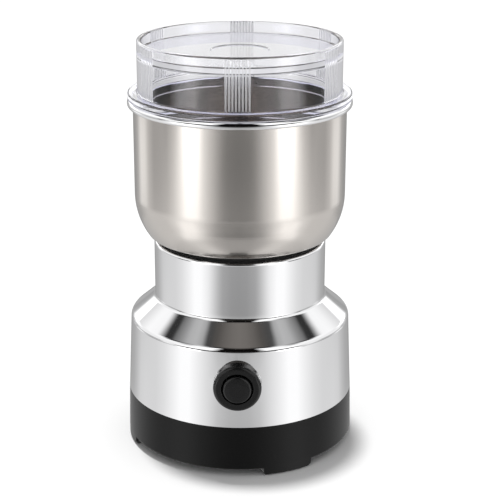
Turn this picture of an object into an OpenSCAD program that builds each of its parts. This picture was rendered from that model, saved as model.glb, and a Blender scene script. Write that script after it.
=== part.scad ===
// Electric spice grinder. A steel bowl with a two-winged blade stands on a waisted
// steel body that hides a universal motor. A push button in front runs it, a clear
// lid lifts off the bowl, and a black moulded base closes the body underneath.
// Millimetres. +Z is up, the button faces -Y, and the origin is on the table,
// under the axis of the motor.

/* [Base] */
// How much wider the base cover is at its bottom edge than where the steel starts
base_flare = 0.5; // [0:0.1:1]
// Height of the base cover's side wall
base_h = 19.8; // [18:0.2:24]
// Thickness of the base cover's side wall
base_wall = 2.1; // [1.6:0.1:2.6]
// Thickness of the base cover's floor
base_floor = 2.2; // [1.6:0.1:3]
// Rounding of the base cover's bottom edge
base_edge_r = 1.2; // [0.6:0.1:1.8]
// Height of the ring on the base cover that goes up inside the steel body
spigot_h = 4; // [3:0.5:6]
// Height from the table to the underside of the base cover
foot_h = 3; // [2.6:0.1:5]
// Length of one foot, along the edge of the base
foot_l = 22.5; // [16:0.5:26]
// Depth of one foot, towards the middle
foot_d = 7.5; // [6:0.5:9]
// Rounding of the lower corners of a foot
foot_corner_r = 1.5; // [0.8:0.1:2]
// Angle between the two feet of a pair
foot_spread = 75; // [70:1:80]
// Turn of the feet pattern from the front
foot_turn = 63.5; // [62:0.5:65]
// Thickness of a rubber pad
pad_t = 1.4; // [1.2:0.1:1.8]
// How far a rubber pad stands out of its foot
pad_proud = 0.8; // [0.5:0.1:1]
// Margin between a rubber pad and the edge of its foot
pad_margin = 0.9; // [0.6:0.1:1.5]
// Width of a ventilation slot in the floor
vent_w = 2.2; // [1.5:0.1:3]
// Distance from one ventilation slot to the next
vent_pitch = 5; // [4.5:0.5:8]
// Radius of the field of ventilation slots
vent_r = 23; // [15:0.5:25]

/* [Body shell] */
// Radius of the steel body at its lower edge
body_r = 49.5; // [49:0.5:56]
// How much narrower the sleeve is at its top
body_taper = 1.5; // [0.5:0.1:3]
// Height of the sleeve
body_h = 34.2; // [33:0.2:44]
// Height of the sloping shoulder
shoulder_h = 9; // [7:0.5:14]
// Radius of the neck
neck_r = 37.3; // [36.8:0.1:42]
// Height of the neck
neck_h = 25.2; // [24:0.2:34]
// Thickness of the steel sheet
sheet_t = 0.6; // [0.4:0.1:0.8]
// Width of the lip turned in at the top of the neck
lip_w = 6; // [3.6:0.1:6.5]
// Bend between the sleeve and the shoulder
edge_r = 3; // [1:0.1:3.5]
// Bend between the shoulder and the neck
neck_bend_r = 2; // [0.4:0.1:2.5]
// Bend between the neck and its lip
lip_bend_r = 1.1; // [0.9:0.1:1.5]

/* [Bowl] */
// Outer radius of the bowl's straight wall
bowl_r = 45.3; // [44:0.1:52]
// Height of the bowl, from its floor to the top of its rolled rim
bowl_h = 59.5; // [50:0.5:80]
// Radius of the bowl's lower curve
bowl_curve_r = 30; // [26:0.5:34]
// Height of the bowl's lower curve
bowl_curve_h = 18.3; // [15:0.1:20]
// Bend between the lower curve and the floor
bowl_bend_r = 2.5; // [2:0.1:4]
// Radius of the rolled rim
rim_roll_r = 1.5; // [1.3:0.1:1.8]
// Straight stretch of the rolled rim, between its two bends
rim_straight = 0.3; // [0.3:0.1:2]
// Height of the black collar between the neck and the bowl
collar_h = 2.5; // [1.5:0.1:4]
// How far the collar stands back from the neck's side
collar_back = 3.4; // [0.5:0.1:4]
// Width of the collar
collar_w = 3.2; // [3:0.1:6]

/* [Lid] */
// Outer radius of the lid's wall
lid_r = 43.3; // [40:0.1:44]
// Thickness of the lid's wall
lid_wall = 2.2; // [1.6:0.1:2.6]
// Height of the lid above the bowl
lid_h = 24.9; // [16:0.1:40]
// Depth of the lid's recessed top
lid_recess = 4.8; // [4.2:0.1:8]
// Thickness of the lid's top
lid_top_t = 2; // [1.5:0.1:3]
// Thickness of the flange that rests on the bowl
flange_t = 3; // [1.5:0.1:4]
// How far the rolled rim stands out past the lid's flange
flange_back = 0.3; // [0:0.1:1]
// How deep the lid's skirt goes into the bowl
skirt_h = 4.5; // [3:0.5:8]
// Radius of the shallow round dish in the middle of the lid
dish_r = 12; // [8:0.5:20]
// Depth of that dish
dish_depth = 0.5; // [0.3:0.1:0.8]
// Number of rib groups round the lid
rib_groups = 6; // [3:1:10]
// Number of ribs in one group
ribs_in_group = 8; // [3:1:10]
// Distance from one rib to the next
rib_pitch = 1.35; // [1.2:0.05:2]
// Radius of one rib
rib_r = 0.5; // [0.3:0.05:0.55]

/* [Button] */
// Distance of the button's middle below the top of the sleeve
button_drop = 15.3; // [14.5:0.1:16]
// Radius of the bezel round the button
bezel_r = 10.1; // [9.5:0.1:11]
// How far the bezel stands out of the steel body
bezel_proud = 4.2; // [3:0.1:6]
// Rounding of the bezel's front edge
bezel_edge_r = 1.6; // [0.8:0.1:2.2]
// Radius of the button
button_r = 6; // [5:0.1:6.3]
// How far the button stands out of its bezel
button_proud = 1.3; // [0.5:0.1:3]
// Rounding of the button's front edge
button_edge_r = 1; // [0.4:0.1:1.4]
// Travel of the button
button_travel = 2.5; // [1.5:0.1:3]
// Outer radius of the switch's barrel
barrel_r = 8; // [8:0.1:8.6]
// Outer radius of the switch's nut
switch_nut_r = 10.6; // [10:0.1:11.5]
// Thickness of the switch's nut
switch_nut_t = 3.2; // [2:0.1:4]
// Width of the switch's rear housing
switch_w = 17; // [16.5:0.5:18]
// Radius of the button's stem
stem_r = 2; // [1.5:0.1:2.2]
// Wire radius of the button's spring
spring_wire_r = 0.3; // [0.2:0.05:0.4]
// Radius of the button's spring, to the middle of its wire
spring_r = 4; // [3.6:0.1:4.4]
// Number of turns of the button's spring
spring_turns = 5; // [3:1:5]

/* [Frame] */
// Thickness of the motor frame's wall
frame_wall = 1.6; // [1.2:0.1:1.8]
// Thickness of the plate at the top of the motor frame
frame_plate_t = 4; // [3:0.1:5]
// Radius of the raised middle of that plate, which carries the bowl
platform_r = 30.5; // [29:0.1:31]
// How far the frame reaches down inside the sleeve
frame_skirt_h = 3.5; // [2:0.1:4]
// Distance of the frame's posts from the axis
post_reach = 40.5; // [40:0.1:41]
// Radius of a frame post
post_r = 4.2; // [3.6:0.1:4.2]
// Angles of the frame posts, from the front
post_angles = [58, 125, -125, -58];
// Radius of the body of a base screw
base_screw_r = 1.7; // [1.5:0.1:2]
// Length of a base screw
base_screw_l = 26; // [22:0.5:30]
// Distance of the bowl screws from the axis
bowl_screw_reach = 20; // [17:0.5:23]
// Radius of the body of a bowl screw
bowl_screw_r = 1.9; // [1.5:0.1:2]
// Length of a bowl screw
bowl_screw_l = 10; // [8:0.5:11]
// Distance of the rubber mounts from the axis
mount_reach = 22; // [20:0.5:22.5]
// Radius of the body of a mounting screw
mount_screw_r = 1.6; // [1.4:0.1:2]
// Radius of a rubber mount
damper_r = 5; // [4.5:0.1:5.5]
// Height of a rubber mount
damper_h = 5.6; // [5.2:0.1:6.5]

/* [Motor] */
// Radius of the motor's shaft
shaft_r = 3; // [2.8:0.1:3.2]
// Half the width of the stator, along X
stator_x = 27; // [26.5:0.1:27.2]
// Half the depth of the stator, along Y
stator_y = 23; // [22.6:0.1:23.2]
// Rounding of the stator's corners
stator_corner_r = 5; // [4.6:0.1:7]
// Height of the stack of steel sheets
stack_h = 22; // [18:0.5:23]
// Radius of the armature's core
armature_r = 15.2; // [14.5:0.1:15.4]
// Air gap between the armature and the poles
air_gap = 0.4; // [0.3:0.05:0.5]
// Thickness of a pole tip
pole_tip_t = 2.5; // [2:0.1:2.8]
// Half the width of a pole's body
pole_half_w = 8.5; // [8:0.1:9]
// Thickness of the yoke behind a pole
yoke_t = 5; // [4.5:0.1:5.2]
// Thickness of the yoke beside the armature
yoke_side_t = 5.5; // [5.2:0.1:5.6]
// Thickness of a field coil, seen along the axis of its pole
coil_side = 7.4; // [6:0.1:7.5]
// Number of slots in the armature
armature_slots = 12; // [10:1:14]
// Radius of an armature slot
slot_r = 2; // [1.6:0.05:2.1]
// Height of the armature's end windings
end_turn_h = 5.6; // [4.5:0.1:6]
// Radius of the commutator
commutator_r = 9; // [8.5:0.1:9.4]
// Length of the commutator's running face
commutator_l = 8.8; // [8.4:0.1:9]
// Thickness of a carbon brush, along its holder's height
brush_h = 6.4; // [5.5:0.1:6.5]
// Width of a carbon brush
brush_w = 5; // [4:0.1:5.5]
// Length of a carbon brush
brush_l = 11; // [8:0.5:12]
// Middle radius of a brush spring
brush_spring_r = 1.8; // [1.5:0.1:1.9]
// Radius of a brush spring's wire
brush_wire_r = 0.25; // [0.2:0.05:0.3]
// Turns of a brush spring
brush_turns = 5; // [4:1:7]
// Wall of a brush holder
holder_wall = 0.6; // [0.4:0.1:0.8]
// How far a brush holder reaches from the axis
holder_reach = 30; // [28:0.5:30.5]
// Radius of the lower bracket's disc
lower_disc_r = 31; // [30.8:0.1:32]
// Radius of the upper bracket's disc
upper_disc_r = 27.5; // [27:0.1:28]
// Thickness of the motor brackets
bracket_t = 3; // [2.5:0.1:3.4]
// Height left between the stack and the upper bracket
fan_room = 19.4; // [19:0.1:21]
// Distance of the two motor bolts from the axis along X
bolt_x = 23.7; // [23.4:0.1:23.8]
// Distance of the two motor bolts from the axis along Y
bolt_y = 19.5; // [19.2:0.1:19.6]
// Radius of a motor bolt
bolt_r = 1.8; // [1.5:0.1:1.9]
// Radius of the pillars on the motor brackets
pillar_r = 3.5; // [3.2:0.1:3.6]
// Radius of a bronze bearing
bearing_r = 6.2; // [5.8:0.1:6.4]
// Length of a bronze bearing
bearing_l = 7; // [6:0.1:7.2]
// Outer radius of a bearing cup
cup_r = 8.6; // [8.2:0.1:9]
// Radius of the cooling fan
fan_r = 20; // [16:0.5:22]
// Number of fan blades
fan_blades = 9; // [5:1:13]
// Height of the cooling fan's blades
fan_blade_h = 6.2; // [4:0.1:6.5]

/* [Blade] */
// Reach of the grinding blade from the axis
blade_reach = 34; // [28:0.5:36]
// Width of a wing where it leaves the hub
wing_root_w = 15; // [12:0.5:16]
// Width of a wing at its tip
wing_tip_w = 9; // [6:0.5:11]
// Thickness of the blade
blade_t = 1.6; // [1.2:0.1:2]
// Twist of a wing about its own length
wing_pitch = 16; // [8:1:22]
// Rise of a wing towards its tip
wing_rise = 11; // [5:1:14]
// Radius of the blade's flat hub
blade_hub_r = 9; // [8.5:0.1:10]
// Length of the bend between the hub and a wing
wing_bend_l = 8; // [6:0.5:10]
// Height of the blade above the floor of the bowl
blade_clear = 6.7; // [6.2:0.1:9]
// Radius of the threaded end of the shaft
thread_r = 2.5; // [2:0.1:2.6]
// Width across the flats of the blade nut
nut_flats = 8; // [7.5:0.1:9]
// Height of the blade nut
nut_h = 4; // [3:0.1:5]

/* [Inlet and wiring] */
// Radius of the cable inlet's bore
inlet_r = 3.25; // [2.5:0.05:3.5]
// Radius of the inlet's outer flange
inlet_flange_r = 7; // [6.5:0.1:7.5]
// Thickness of the inlet's outer flange
inlet_flange_t = 2.2; // [1.5:0.1:2.5]
// Wall of the inlet bush where it passes through the base
inlet_wall = 1.8; // [1.5:0.1:2]
// Length of the terminal block
block_l = 20; // [16:0.5:22]
// Width of the terminal block
block_w = 9; // [8:0.5:10]
// Height of the terminal block
block_h = 8; // [7:0.5:9]
// Distance of the terminal block from the axis
block_reach = 25; // [24:0.5:26]
// Half the length of the capacitor
capacitor_half_l = 9; // [7:0.5:10]
// Half the width of the capacitor
capacitor_half_w = 5.5; // [4.5:0.5:6]
// Height of the capacitor
capacitor_h = 7.5; // [6:0.5:8]
// Distance of the capacitor from the axis
capacitor_reach = 29; // [28:0.5:30]
// Height of the inlet above the base cover's underside
inlet_rise = 9.8; // [9.6:0.1:11]

/* [Fits] */
// Running clearance round the shaft in its bearings
running_gap = 0.03; // [0.02:0.01:0.06]
// Gap round pieces that move past each other
moving_gap = 0.3; // [0.3:0.05:0.5]
// Gap round pieces that are pushed together
fit_gap = 0.1; // [0.05:0.05:0.2]
// Gap between the lid's skirt and the bowl
lid_gap = 0.4; // [0.3:0.1:0.8]
// Gap between a carbon brush and the commutator
brush_gap = 0.2; // [0.15:0.05:0.3]

/* [Hidden] */
$fn = 96;
// Small overshoot that keeps cuts clean
eps = 0.05;
// Points on a rounded corner
corner_steps = 6;
// Points on a long curve
curve_steps = 18;
// Stations along the straight stretch of a wing
wing_steps = 10;
// Height of the screw wells in the base cover
well_h = 7;
// How deep the heads of the mounting screws are sunk
mount_seat_d = 2.8;
// How far the motor bolts go on above the stack
bolt_grip = 12;
// Height of a motor bolt's head
bolt_head_h = 2.4;
// Thickness of the shaft seal's flange
seal_flange_t = 1.4;
// Length of the switch's housing
switch_l = 11;
// Distance of a switch contact from the middle
contact_reach = 4;
// Depth of the stem's seat in the button
stem_seat = 3;

// Heights, from the table up
base_z = foot_h;
base_top_z = base_z + base_h;
sleeve_top_z = base_top_z + body_h;
neck_z = sleeve_top_z + shoulder_h;
neck_top_z = neck_z + neck_h;
lip_under_z = neck_top_z - sheet_t;
bowl_z = neck_top_z + collar_h;
bowl_inside_z = bowl_z + sheet_t;
bowl_top_z = bowl_z + bowl_h;
lid_top_z = bowl_top_z + lid_h;
button_z = sleeve_top_z - button_drop;
inlet_z = base_z + inlet_rise;
well_top_z = base_z + well_h;
boss_top_z = base_top_z + 1.2;
mount_seat_z = bowl_z - mount_seat_d;

// Motor heights, hung from the frame's plate
plate_under_z = lip_under_z - frame_plate_t;
bracket_top_z = plate_under_z - damper_h;
bracket_under_z = bracket_top_z - bracket_t;
stack_top_z = bracket_under_z - fan_room;
stack_z = stack_top_z - stack_h;
bolt_top_z = stack_top_z + bolt_grip;
coil_clear = 0.3;
coil_under_z = stack_z - coil_clear - coil_side;
holder_h = brush_h + 2 * fit_gap + 2 * holder_wall;
holder_w = brush_w + 2 * fit_gap + 2 * holder_wall;
holder_top_z = coil_under_z - 1.2;
holder_z = holder_top_z - holder_h;
brush_z = holder_z + holder_h / 2;
lower_bracket_z = holder_z - bracket_t;
retainer_t = 0.8;
washer_t = 0.8;
commutator_z = holder_z + moving_gap;
washer_z = commutator_z - washer_t;
retainer_low_z = washer_z - moving_gap - retainer_t;
low_bearing_z = retainer_low_z - bearing_l;
cup_floor_t = 1.4;
cup_under_z = low_bearing_z - cup_floor_t;
shaft_z = low_bearing_z + moving_gap;
up_bearing_z = bracket_under_z + 0.2;
cup_top_z = up_bearing_z + bearing_l;
blade_z = bowl_inside_z + blade_clear;
spacer_z = bowl_inside_z + seal_flange_t + moving_gap;
blade_washer_z = blade_z + blade_t;
nut_z = blade_washer_z + washer_t;
shaft_top_z = nut_z + nut_h + 0.8;

// Radii that follow from the fits
base_r = body_r + base_flare;
base_in_r = body_r - base_wall;
bowl_in_r = bowl_r - sheet_t;
rim_out_r = bowl_in_r + 2 * rim_roll_r;
flange_r = rim_out_r - flange_back;
skirt_r = bowl_in_r - lid_gap;
lid_in_r = lid_r - lid_wall;
pole_r = armature_r + air_gap;
shaft_hole_r = 6.5;
seal_r = shaft_hole_r - 0.2;
spacer_r = 6;
wing_flat_r = spacer_r + 0.5;
wing_t = blade_t - 0.2;
bush_seat_r = bearing_r + fit_gap / 2;
inlet_neck_r = inlet_r + inlet_wall;
holder_in_x = commutator_r + moving_gap + 1;
bolt_reach = norm([bolt_x, bolt_y]);
bolt_places = [[bolt_x, bolt_y], [-bolt_x, -bolt_y]];
bowl_screw_angles = [0, 120, 240];
mount_angles = [60, 180, 300];
foot_angles = [for (side = [0, 180], half = [-0.5, 0.5]) foot_turn + side + half * foot_spread];

// Distances of the switch's pieces from the axis, measured towards the front
front_wall = body_r - body_taper * (1 - button_drop / body_h);
bezel_front = front_wall + bezel_proud;
button_front = bezel_front + button_proud;
button_hole_r = button_r + 0.6;
barrel_stop = front_wall - 2.6;
barrel_bore_r = barrel_r - 0.9;
cap_flange_r = barrel_bore_r - moving_gap;
cap_flange_t = 2;
cap_back = barrel_stop - moving_gap - cap_flange_t;
barrel_back = cap_back - button_travel - 1.2;
switch_back = barrel_back - switch_l;
switch_floor_t = 2;
shelf_front = barrel_back - 2.8;
shelf_t = 1;
stem_end = shelf_front - shelf_t - 1.6;
contact_t = 0.8;
contact_front = stem_end - button_travel - moving_gap;
nut_front = sqrt(pow(front_wall - sheet_t - 0.4, 2) - pow(switch_nut_r, 2)) - fit_gap;

// ---- Shared shapes -------------------------------------------------------------

// Points of an arc round a centre
function arc(center, r, from, to, steps) =
    [for (i = [0:steps]) let (a = from + (to - from) * i / steps)
        center + r * [cos(a), sin(a)]];

function unit(v) = v / norm(v);
function left_of(v) = [-v[1], v[0]];
function reversed(list) = [for (i = [len(list) - 1:-1:0]) list[i]];

// The arc that rounds corner b between its neighbours a and c
function corner_arc(a, b, c, r) =
    let (
        u = unit(a - b),
        w = unit(c - b),
        half = acos(u * w) / 2,
        center = b + unit(u + w) * r / sin(half),
        p = b + u * r / tan(half) - center,
        q = b + w * r / tan(half) - center,
        from = atan2(p[1], p[0]),
        turn = atan2(cross(p, q), p * q)
    )
    arc(center, r, from, from + turn, corner_steps);

// A closed outline whose corners are rounded by one radius each
function rounded(path, radii) =
    [for (i = [0:len(path) - 1])
        let (n = len(path), a = path[(i + n - 1) % n], b = path[i], c = path[(i + 1) % n])
        each (radii[i] > 0 ? corner_arc(a, b, c, radii[i]) : [b])];

// The same open path, moved to the left of its direction of travel
function beside(path, t) =
    [for (i = [0:len(path) - 1])
        let (
            last = len(path) - 1,
            before = left_of(unit(path[max(i, 1)] - path[max(i, 1) - 1])),
            after = left_of(unit(path[min(i, last - 1) + 1] - path[min(i, last - 1)]))
        )
        path[i] + t * (before + after) / (1 + before * after)];

// How a path turns at one of its points: 1 to the left, -1 to the right, 0 at an end
function turn_at(path, i) =
    i == 0 || i == len(path) - 1 ? 0 : sign(cross(path[i] - path[i - 1], path[i + 1] - path[i]));

// The outline of a bent sheet of thickness t that lies to the left of a path
function sheet(path, radii, t) =
    let (inner = [for (i = [0:len(path) - 1])
        radii[i] > 0 ? radii[i] - t * turn_at(path, i) : 0])
    concat(rounded(path, radii), reversed(rounded(beside(path, t), inner)));

// Places its children at an angle from the front and a distance from the axis
module at(angle, reach) {
    rotate([0, 0, angle])
        translate([0, -reach, 0])
            children();
}

// Turns its children so that their +Z points out of the front of the body
module facing_front(height) {
    translate([0, 0, height])
        rotate([90, 0, 0])
            children();
}

// A plain tube, standing on height z
module tube(z, h, r, bore) {
    difference() {
        translate([0, 0, z]) cylinder(r = r, h = h);
        translate([0, 0, z - eps]) cylinder(r = bore, h = h + 2 * eps);
    }
}

// A pan-head screw that points down from height z, with a cross slot left to its finish
module screw(z, r, l, head_r, head_h) {
    translate([0, 0, z]) cylinder(r = head_r, h = head_h);
    translate([0, 0, z - l]) cylinder(r = r, h = l + eps);
}

// A coil of round wire round Z, from height 0 to height h
module coil_spring(r, wire, h, turns) {
    sides = 8;
    steps = 20;
    rings = turns * steps;
    points = [for (i = [0:rings], k = [0:sides - 1])
        let (
            a = 360 * i / steps,
            b = 360 * k / sides,
            out = r + wire * cos(b)
        )
        [out * cos(a), out * sin(a), wire + (h - 2 * wire) * i / rings + wire * sin(b)]];
    walls = [for (i = [0:rings - 1], k = [0:sides - 1])
        let (a = i * sides + k, b = i * sides + (k + 1) % sides)
        each [[a, a + sides, b], [b, a + sides, b + sides]]];
    caps = [[for (k = [0:sides - 1]) k],
        [for (k = [sides - 1:-1:0]) rings * sides + k]];
    polyhedron(points, concat(walls, caps));
}

// ---- Lid -----------------------------------------------------------------------

// Clear moulded lid: a ribbed wall with a sunken top, a flange that rests on the
// bowl's rolled rim, and a skirt that keeps it centred
module lid() {
    top_z = lid_top_z - lid_recess;
    outline = [
        [0, top_z - dish_depth],
        [dish_r, top_z - dish_depth],
        [dish_r + dish_depth, top_z],
        [lid_in_r, top_z],
        [lid_in_r, lid_top_z],
        [lid_r, lid_top_z],
        [lid_r, bowl_top_z + flange_t],
        [flange_r, bowl_top_z + flange_t],
        [flange_r, bowl_top_z],
        [skirt_r, bowl_top_z],
        [skirt_r, bowl_top_z - skirt_h],
        [skirt_r - lid_wall, bowl_top_z - skirt_h],
        [skirt_r - lid_wall, bowl_top_z],
        [lid_in_r, bowl_top_z + flange_t],
        [lid_in_r, top_z - lid_top_t],
        [0, top_z - lid_top_t]
    ];
    radii = [0, 0, 0, 0.8, 0.9, 0.9, 0.6, 0.8, 0.4, 0.3, 0.5, 0.5, 0, 0, 1, 0];
    rib_step = rib_pitch / lid_r * 180 / PI;
    color("lavender", 0.35)
        union() {
            rotate_extrude() polygon(rounded(outline, radii));
            for (group = [0:rib_groups - 1], rib = [0:ribs_in_group - 1])
                at(360 * group / rib_groups + (rib - (ribs_in_group - 1) / 2) * rib_step, lid_r - 0.1)
                    translate([0, 0, bowl_top_z + flange_t - eps])
                        cylinder(r = rib_r, h = lid_h - flange_t - 1, $fn = 16);
        }
}

// ---- Bowl ----------------------------------------------------------------------

// One side of the bowl's sheet from the floor to the start of the rolled rim.
// grow is 0 for the outer side and minus the sheet's thickness for the inner side.
function bowl_side(grow) =
    let (
        curve = [bowl_r - bowl_curve_r, bowl_z + bowl_curve_h],
        apart = bowl_curve_r - bowl_bend_r,
        drop = bowl_curve_h - bowl_bend_r,
        bend = [curve[0] + sqrt(apart * apart - drop * drop), bowl_z + bowl_bend_r],
        meet = -asin(drop / apart)
    )
    concat(
        [[shaft_hole_r, bowl_z - grow]],
        arc(bend, bowl_bend_r + grow, -90, meet, corner_steps),
        arc(curve, bowl_curve_r + grow, meet, 0, curve_steps)
    );

// The rolled rim, from the wall over the top and down, as seen in section
function rim_side(r) =
    let (x = bowl_in_r + rim_roll_r, z = bowl_top_z - rim_roll_r)
    concat(
        arc([x, z], r, 180, 0, 2 * corner_steps),
        arc([x, z - rim_straight], r, 0, -100, corner_steps)
    );

// Drawn steel bowl with a rolled rim
module bowl() {
    color("silver")
        difference() {
            rotate_extrude()
                polygon(concat(
                    bowl_side(0),
                    rim_side(rim_roll_r - sheet_t),
                    reversed(rim_side(rim_roll_r)),
                    reversed(bowl_side(-sheet_t))
                ));
            for (angle = bowl_screw_angles)
                at(angle, bowl_screw_reach)
                    translate([0, 0, bowl_z - eps])
                        cylinder(r = bowl_screw_r + fit_gap, h = sheet_t + 2 * eps);
        }
}

// Black rubber collar that the bowl is clamped on
module bowl_collar() {
    outer = neck_r - collar_back;
    color("#1b1b1c")
        tube(neck_top_z, collar_h, outer, outer - collar_w + fit_gap);
}

// Three screws that hold the bowl to the frame
module bowl_screws() {
    color("gainsboro")
        for (angle = bowl_screw_angles)
            at(angle, bowl_screw_reach)
                screw(bowl_inside_z, bowl_screw_r, bowl_screw_l, 2 * bowl_screw_r, 1.6);
}

// Black bush that covers the bowl's middle hole and wipes the shaft
module shaft_seal() {
    flange_r = seal_r + 2.4;
    color("#1b1b1c")
        difference() {
            union() {
                translate([0, 0, plate_under_z + 1]) cylinder(r = seal_r, h = bowl_inside_z - plate_under_z);
                translate([0, 0, bowl_inside_z]) cylinder(r = flange_r, h = seal_flange_t);
            }
            translate([0, 0, plate_under_z])
                cylinder(r = shaft_r + moving_gap, h = bowl_inside_z - plate_under_z + 2);
        }
}

// ---- Blade ---------------------------------------------------------------------

// How far along its bend a wing is at distance x from the axis, from 0 to 1
function bend_share(x) = min(1, max(0, (x - wing_flat_r) / wing_bend_l));

// Rise of a wing's middle line at distance x from the axis
function wing_lift(x) =
    let (past = max(0, x - wing_flat_r))
    tan(wing_rise) * (past < wing_bend_l ? past * past / (2 * wing_bend_l) : past - wing_bend_l / 2);

// The four corners of a wing's section at distance x from the axis
function wing_section(x, half) =
    let (
        pitch = wing_pitch * bend_share(x),
        middle = [x, 0, blade_z + blade_t / 2 + wing_lift(x)],
        across = half * [0, cos(pitch), sin(pitch)],
        up = wing_t / 2 * [0, -sin(pitch), cos(pitch)]
    )
    [middle - across - up, middle + across - up, middle + across + up, middle - across + up];

// One wing: a strip that narrows, twists and turns up, with a rounded tip
module wing() {
    tip_r = wing_tip_w / 2;
    straight_end = blade_reach - tip_r;
    straight = [for (i = [0:wing_steps])
        let (s = i / wing_steps)
        [
            wing_flat_r + s * (straight_end - wing_flat_r),
            (wing_root_w + s * (wing_tip_w - wing_root_w)) / 2
        ]];
    tip = [for (i = [1:corner_steps])
        let (a = 80 * i / corner_steps)
        [straight_end + tip_r * sin(a), tip_r * cos(a)]];
    stations = concat(straight, tip);
    last = len(stations) - 1;
    walls = [for (i = [0:last - 1], k = [0:3])
        let (a = 4 * i + k, b = 4 * i + (k + 1) % 4)
        each [[a, a + 4, b], [b, a + 4, b + 4]]];
    ends = [[0, 1, 2, 3], [4 * last + 3, 4 * last + 2, 4 * last + 1, 4 * last]];
    polyhedron([for (station = stations) each wing_section(station[0], station[1])], concat(walls, ends));
}

// Pressed steel blade: a flat hub and two wings, each twisted and turned up
module blade() {
    color("silver")
        difference() {
            union() {
                translate([0, 0, blade_z]) cylinder(r = blade_hub_r, h = blade_t);
                for (side = [0, 180])
                    rotate([0, 0, side]) wing();
            }
            translate([0, 0, blade_z - eps]) cylinder(r = thread_r, h = blade_t + 2 * eps);
        }
}

// Spacer that lifts the blade off the seal, pushed on the shaft
module blade_spacer() {
    color("#1b1b1c")
        tube(spacer_z, blade_z - spacer_z, spacer_r, shaft_r);
}

module blade_washer() {
    color("silver")
        tube(blade_washer_z, washer_t, nut_flats / 2 + 0.6, thread_r);
}

module blade_nut() {
    color("silver")
        difference() {
            intersection() {
                translate([0, 0, nut_z]) cylinder(r = nut_flats / sqrt(3), h = nut_h, $fn = 6);
                translate([0, 0, nut_z - nut_flats / 2])
                    cylinder(r1 = nut_flats, r2 = nut_flats / 2 - 0.1, h = nut_flats / 2 + nut_h);
            }
            translate([0, 0, nut_z - eps]) cylinder(r = thread_r, h = nut_h + 2 * eps);
        }
}

// ---- Body shell and base -------------------------------------------------------

// The outer side of the steel body in section, from its lower edge to its lip
body_path = [
    [body_r, base_top_z],
    [body_r - body_taper, sleeve_top_z],
    [neck_r, neck_z],
    [neck_r, neck_top_z],
    [neck_r - lip_w, neck_top_z]
];
body_radii = [0, edge_r, neck_bend_r, lip_bend_r, 0];

// Everything inside the outer side of the sleeve, used to seat pieces on it
module sleeve_solid() {
    translate([0, 0, base_top_z])
        cylinder(r1 = body_r, r2 = body_r - body_taper, h = body_h);
}

// Drawn steel body: sleeve, sloping shoulder, neck and lip in one piece
module body_shell() {
    color("#d9d9dc")
        difference() {
            rotate_extrude() polygon(sheet(body_path, body_radii, sheet_t));
            facing_front(button_z)
                translate([0, 0, neck_r])
                    cylinder(r = barrel_r + fit_gap, h = body_r);
            // The lower edge is cut level, to stand on the base cover
            translate([0, 0, base_top_z - 1]) cylinder(r = body_r + 1, h = 1);
        }
}

// The straight-sided block that a foot is cut from, grown by a margin
module foot_block(grow, low, high) {
    corner = foot_corner_r;
    half = foot_l / 2 + grow;
    outline = [[-half, low], [half, low], [half, high], [-half, high]];
    rotate([90, 0, 0])
        linear_extrude(2 * base_r)
            polygon(rounded(outline, [corner, corner, 0, 0]));
}

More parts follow.
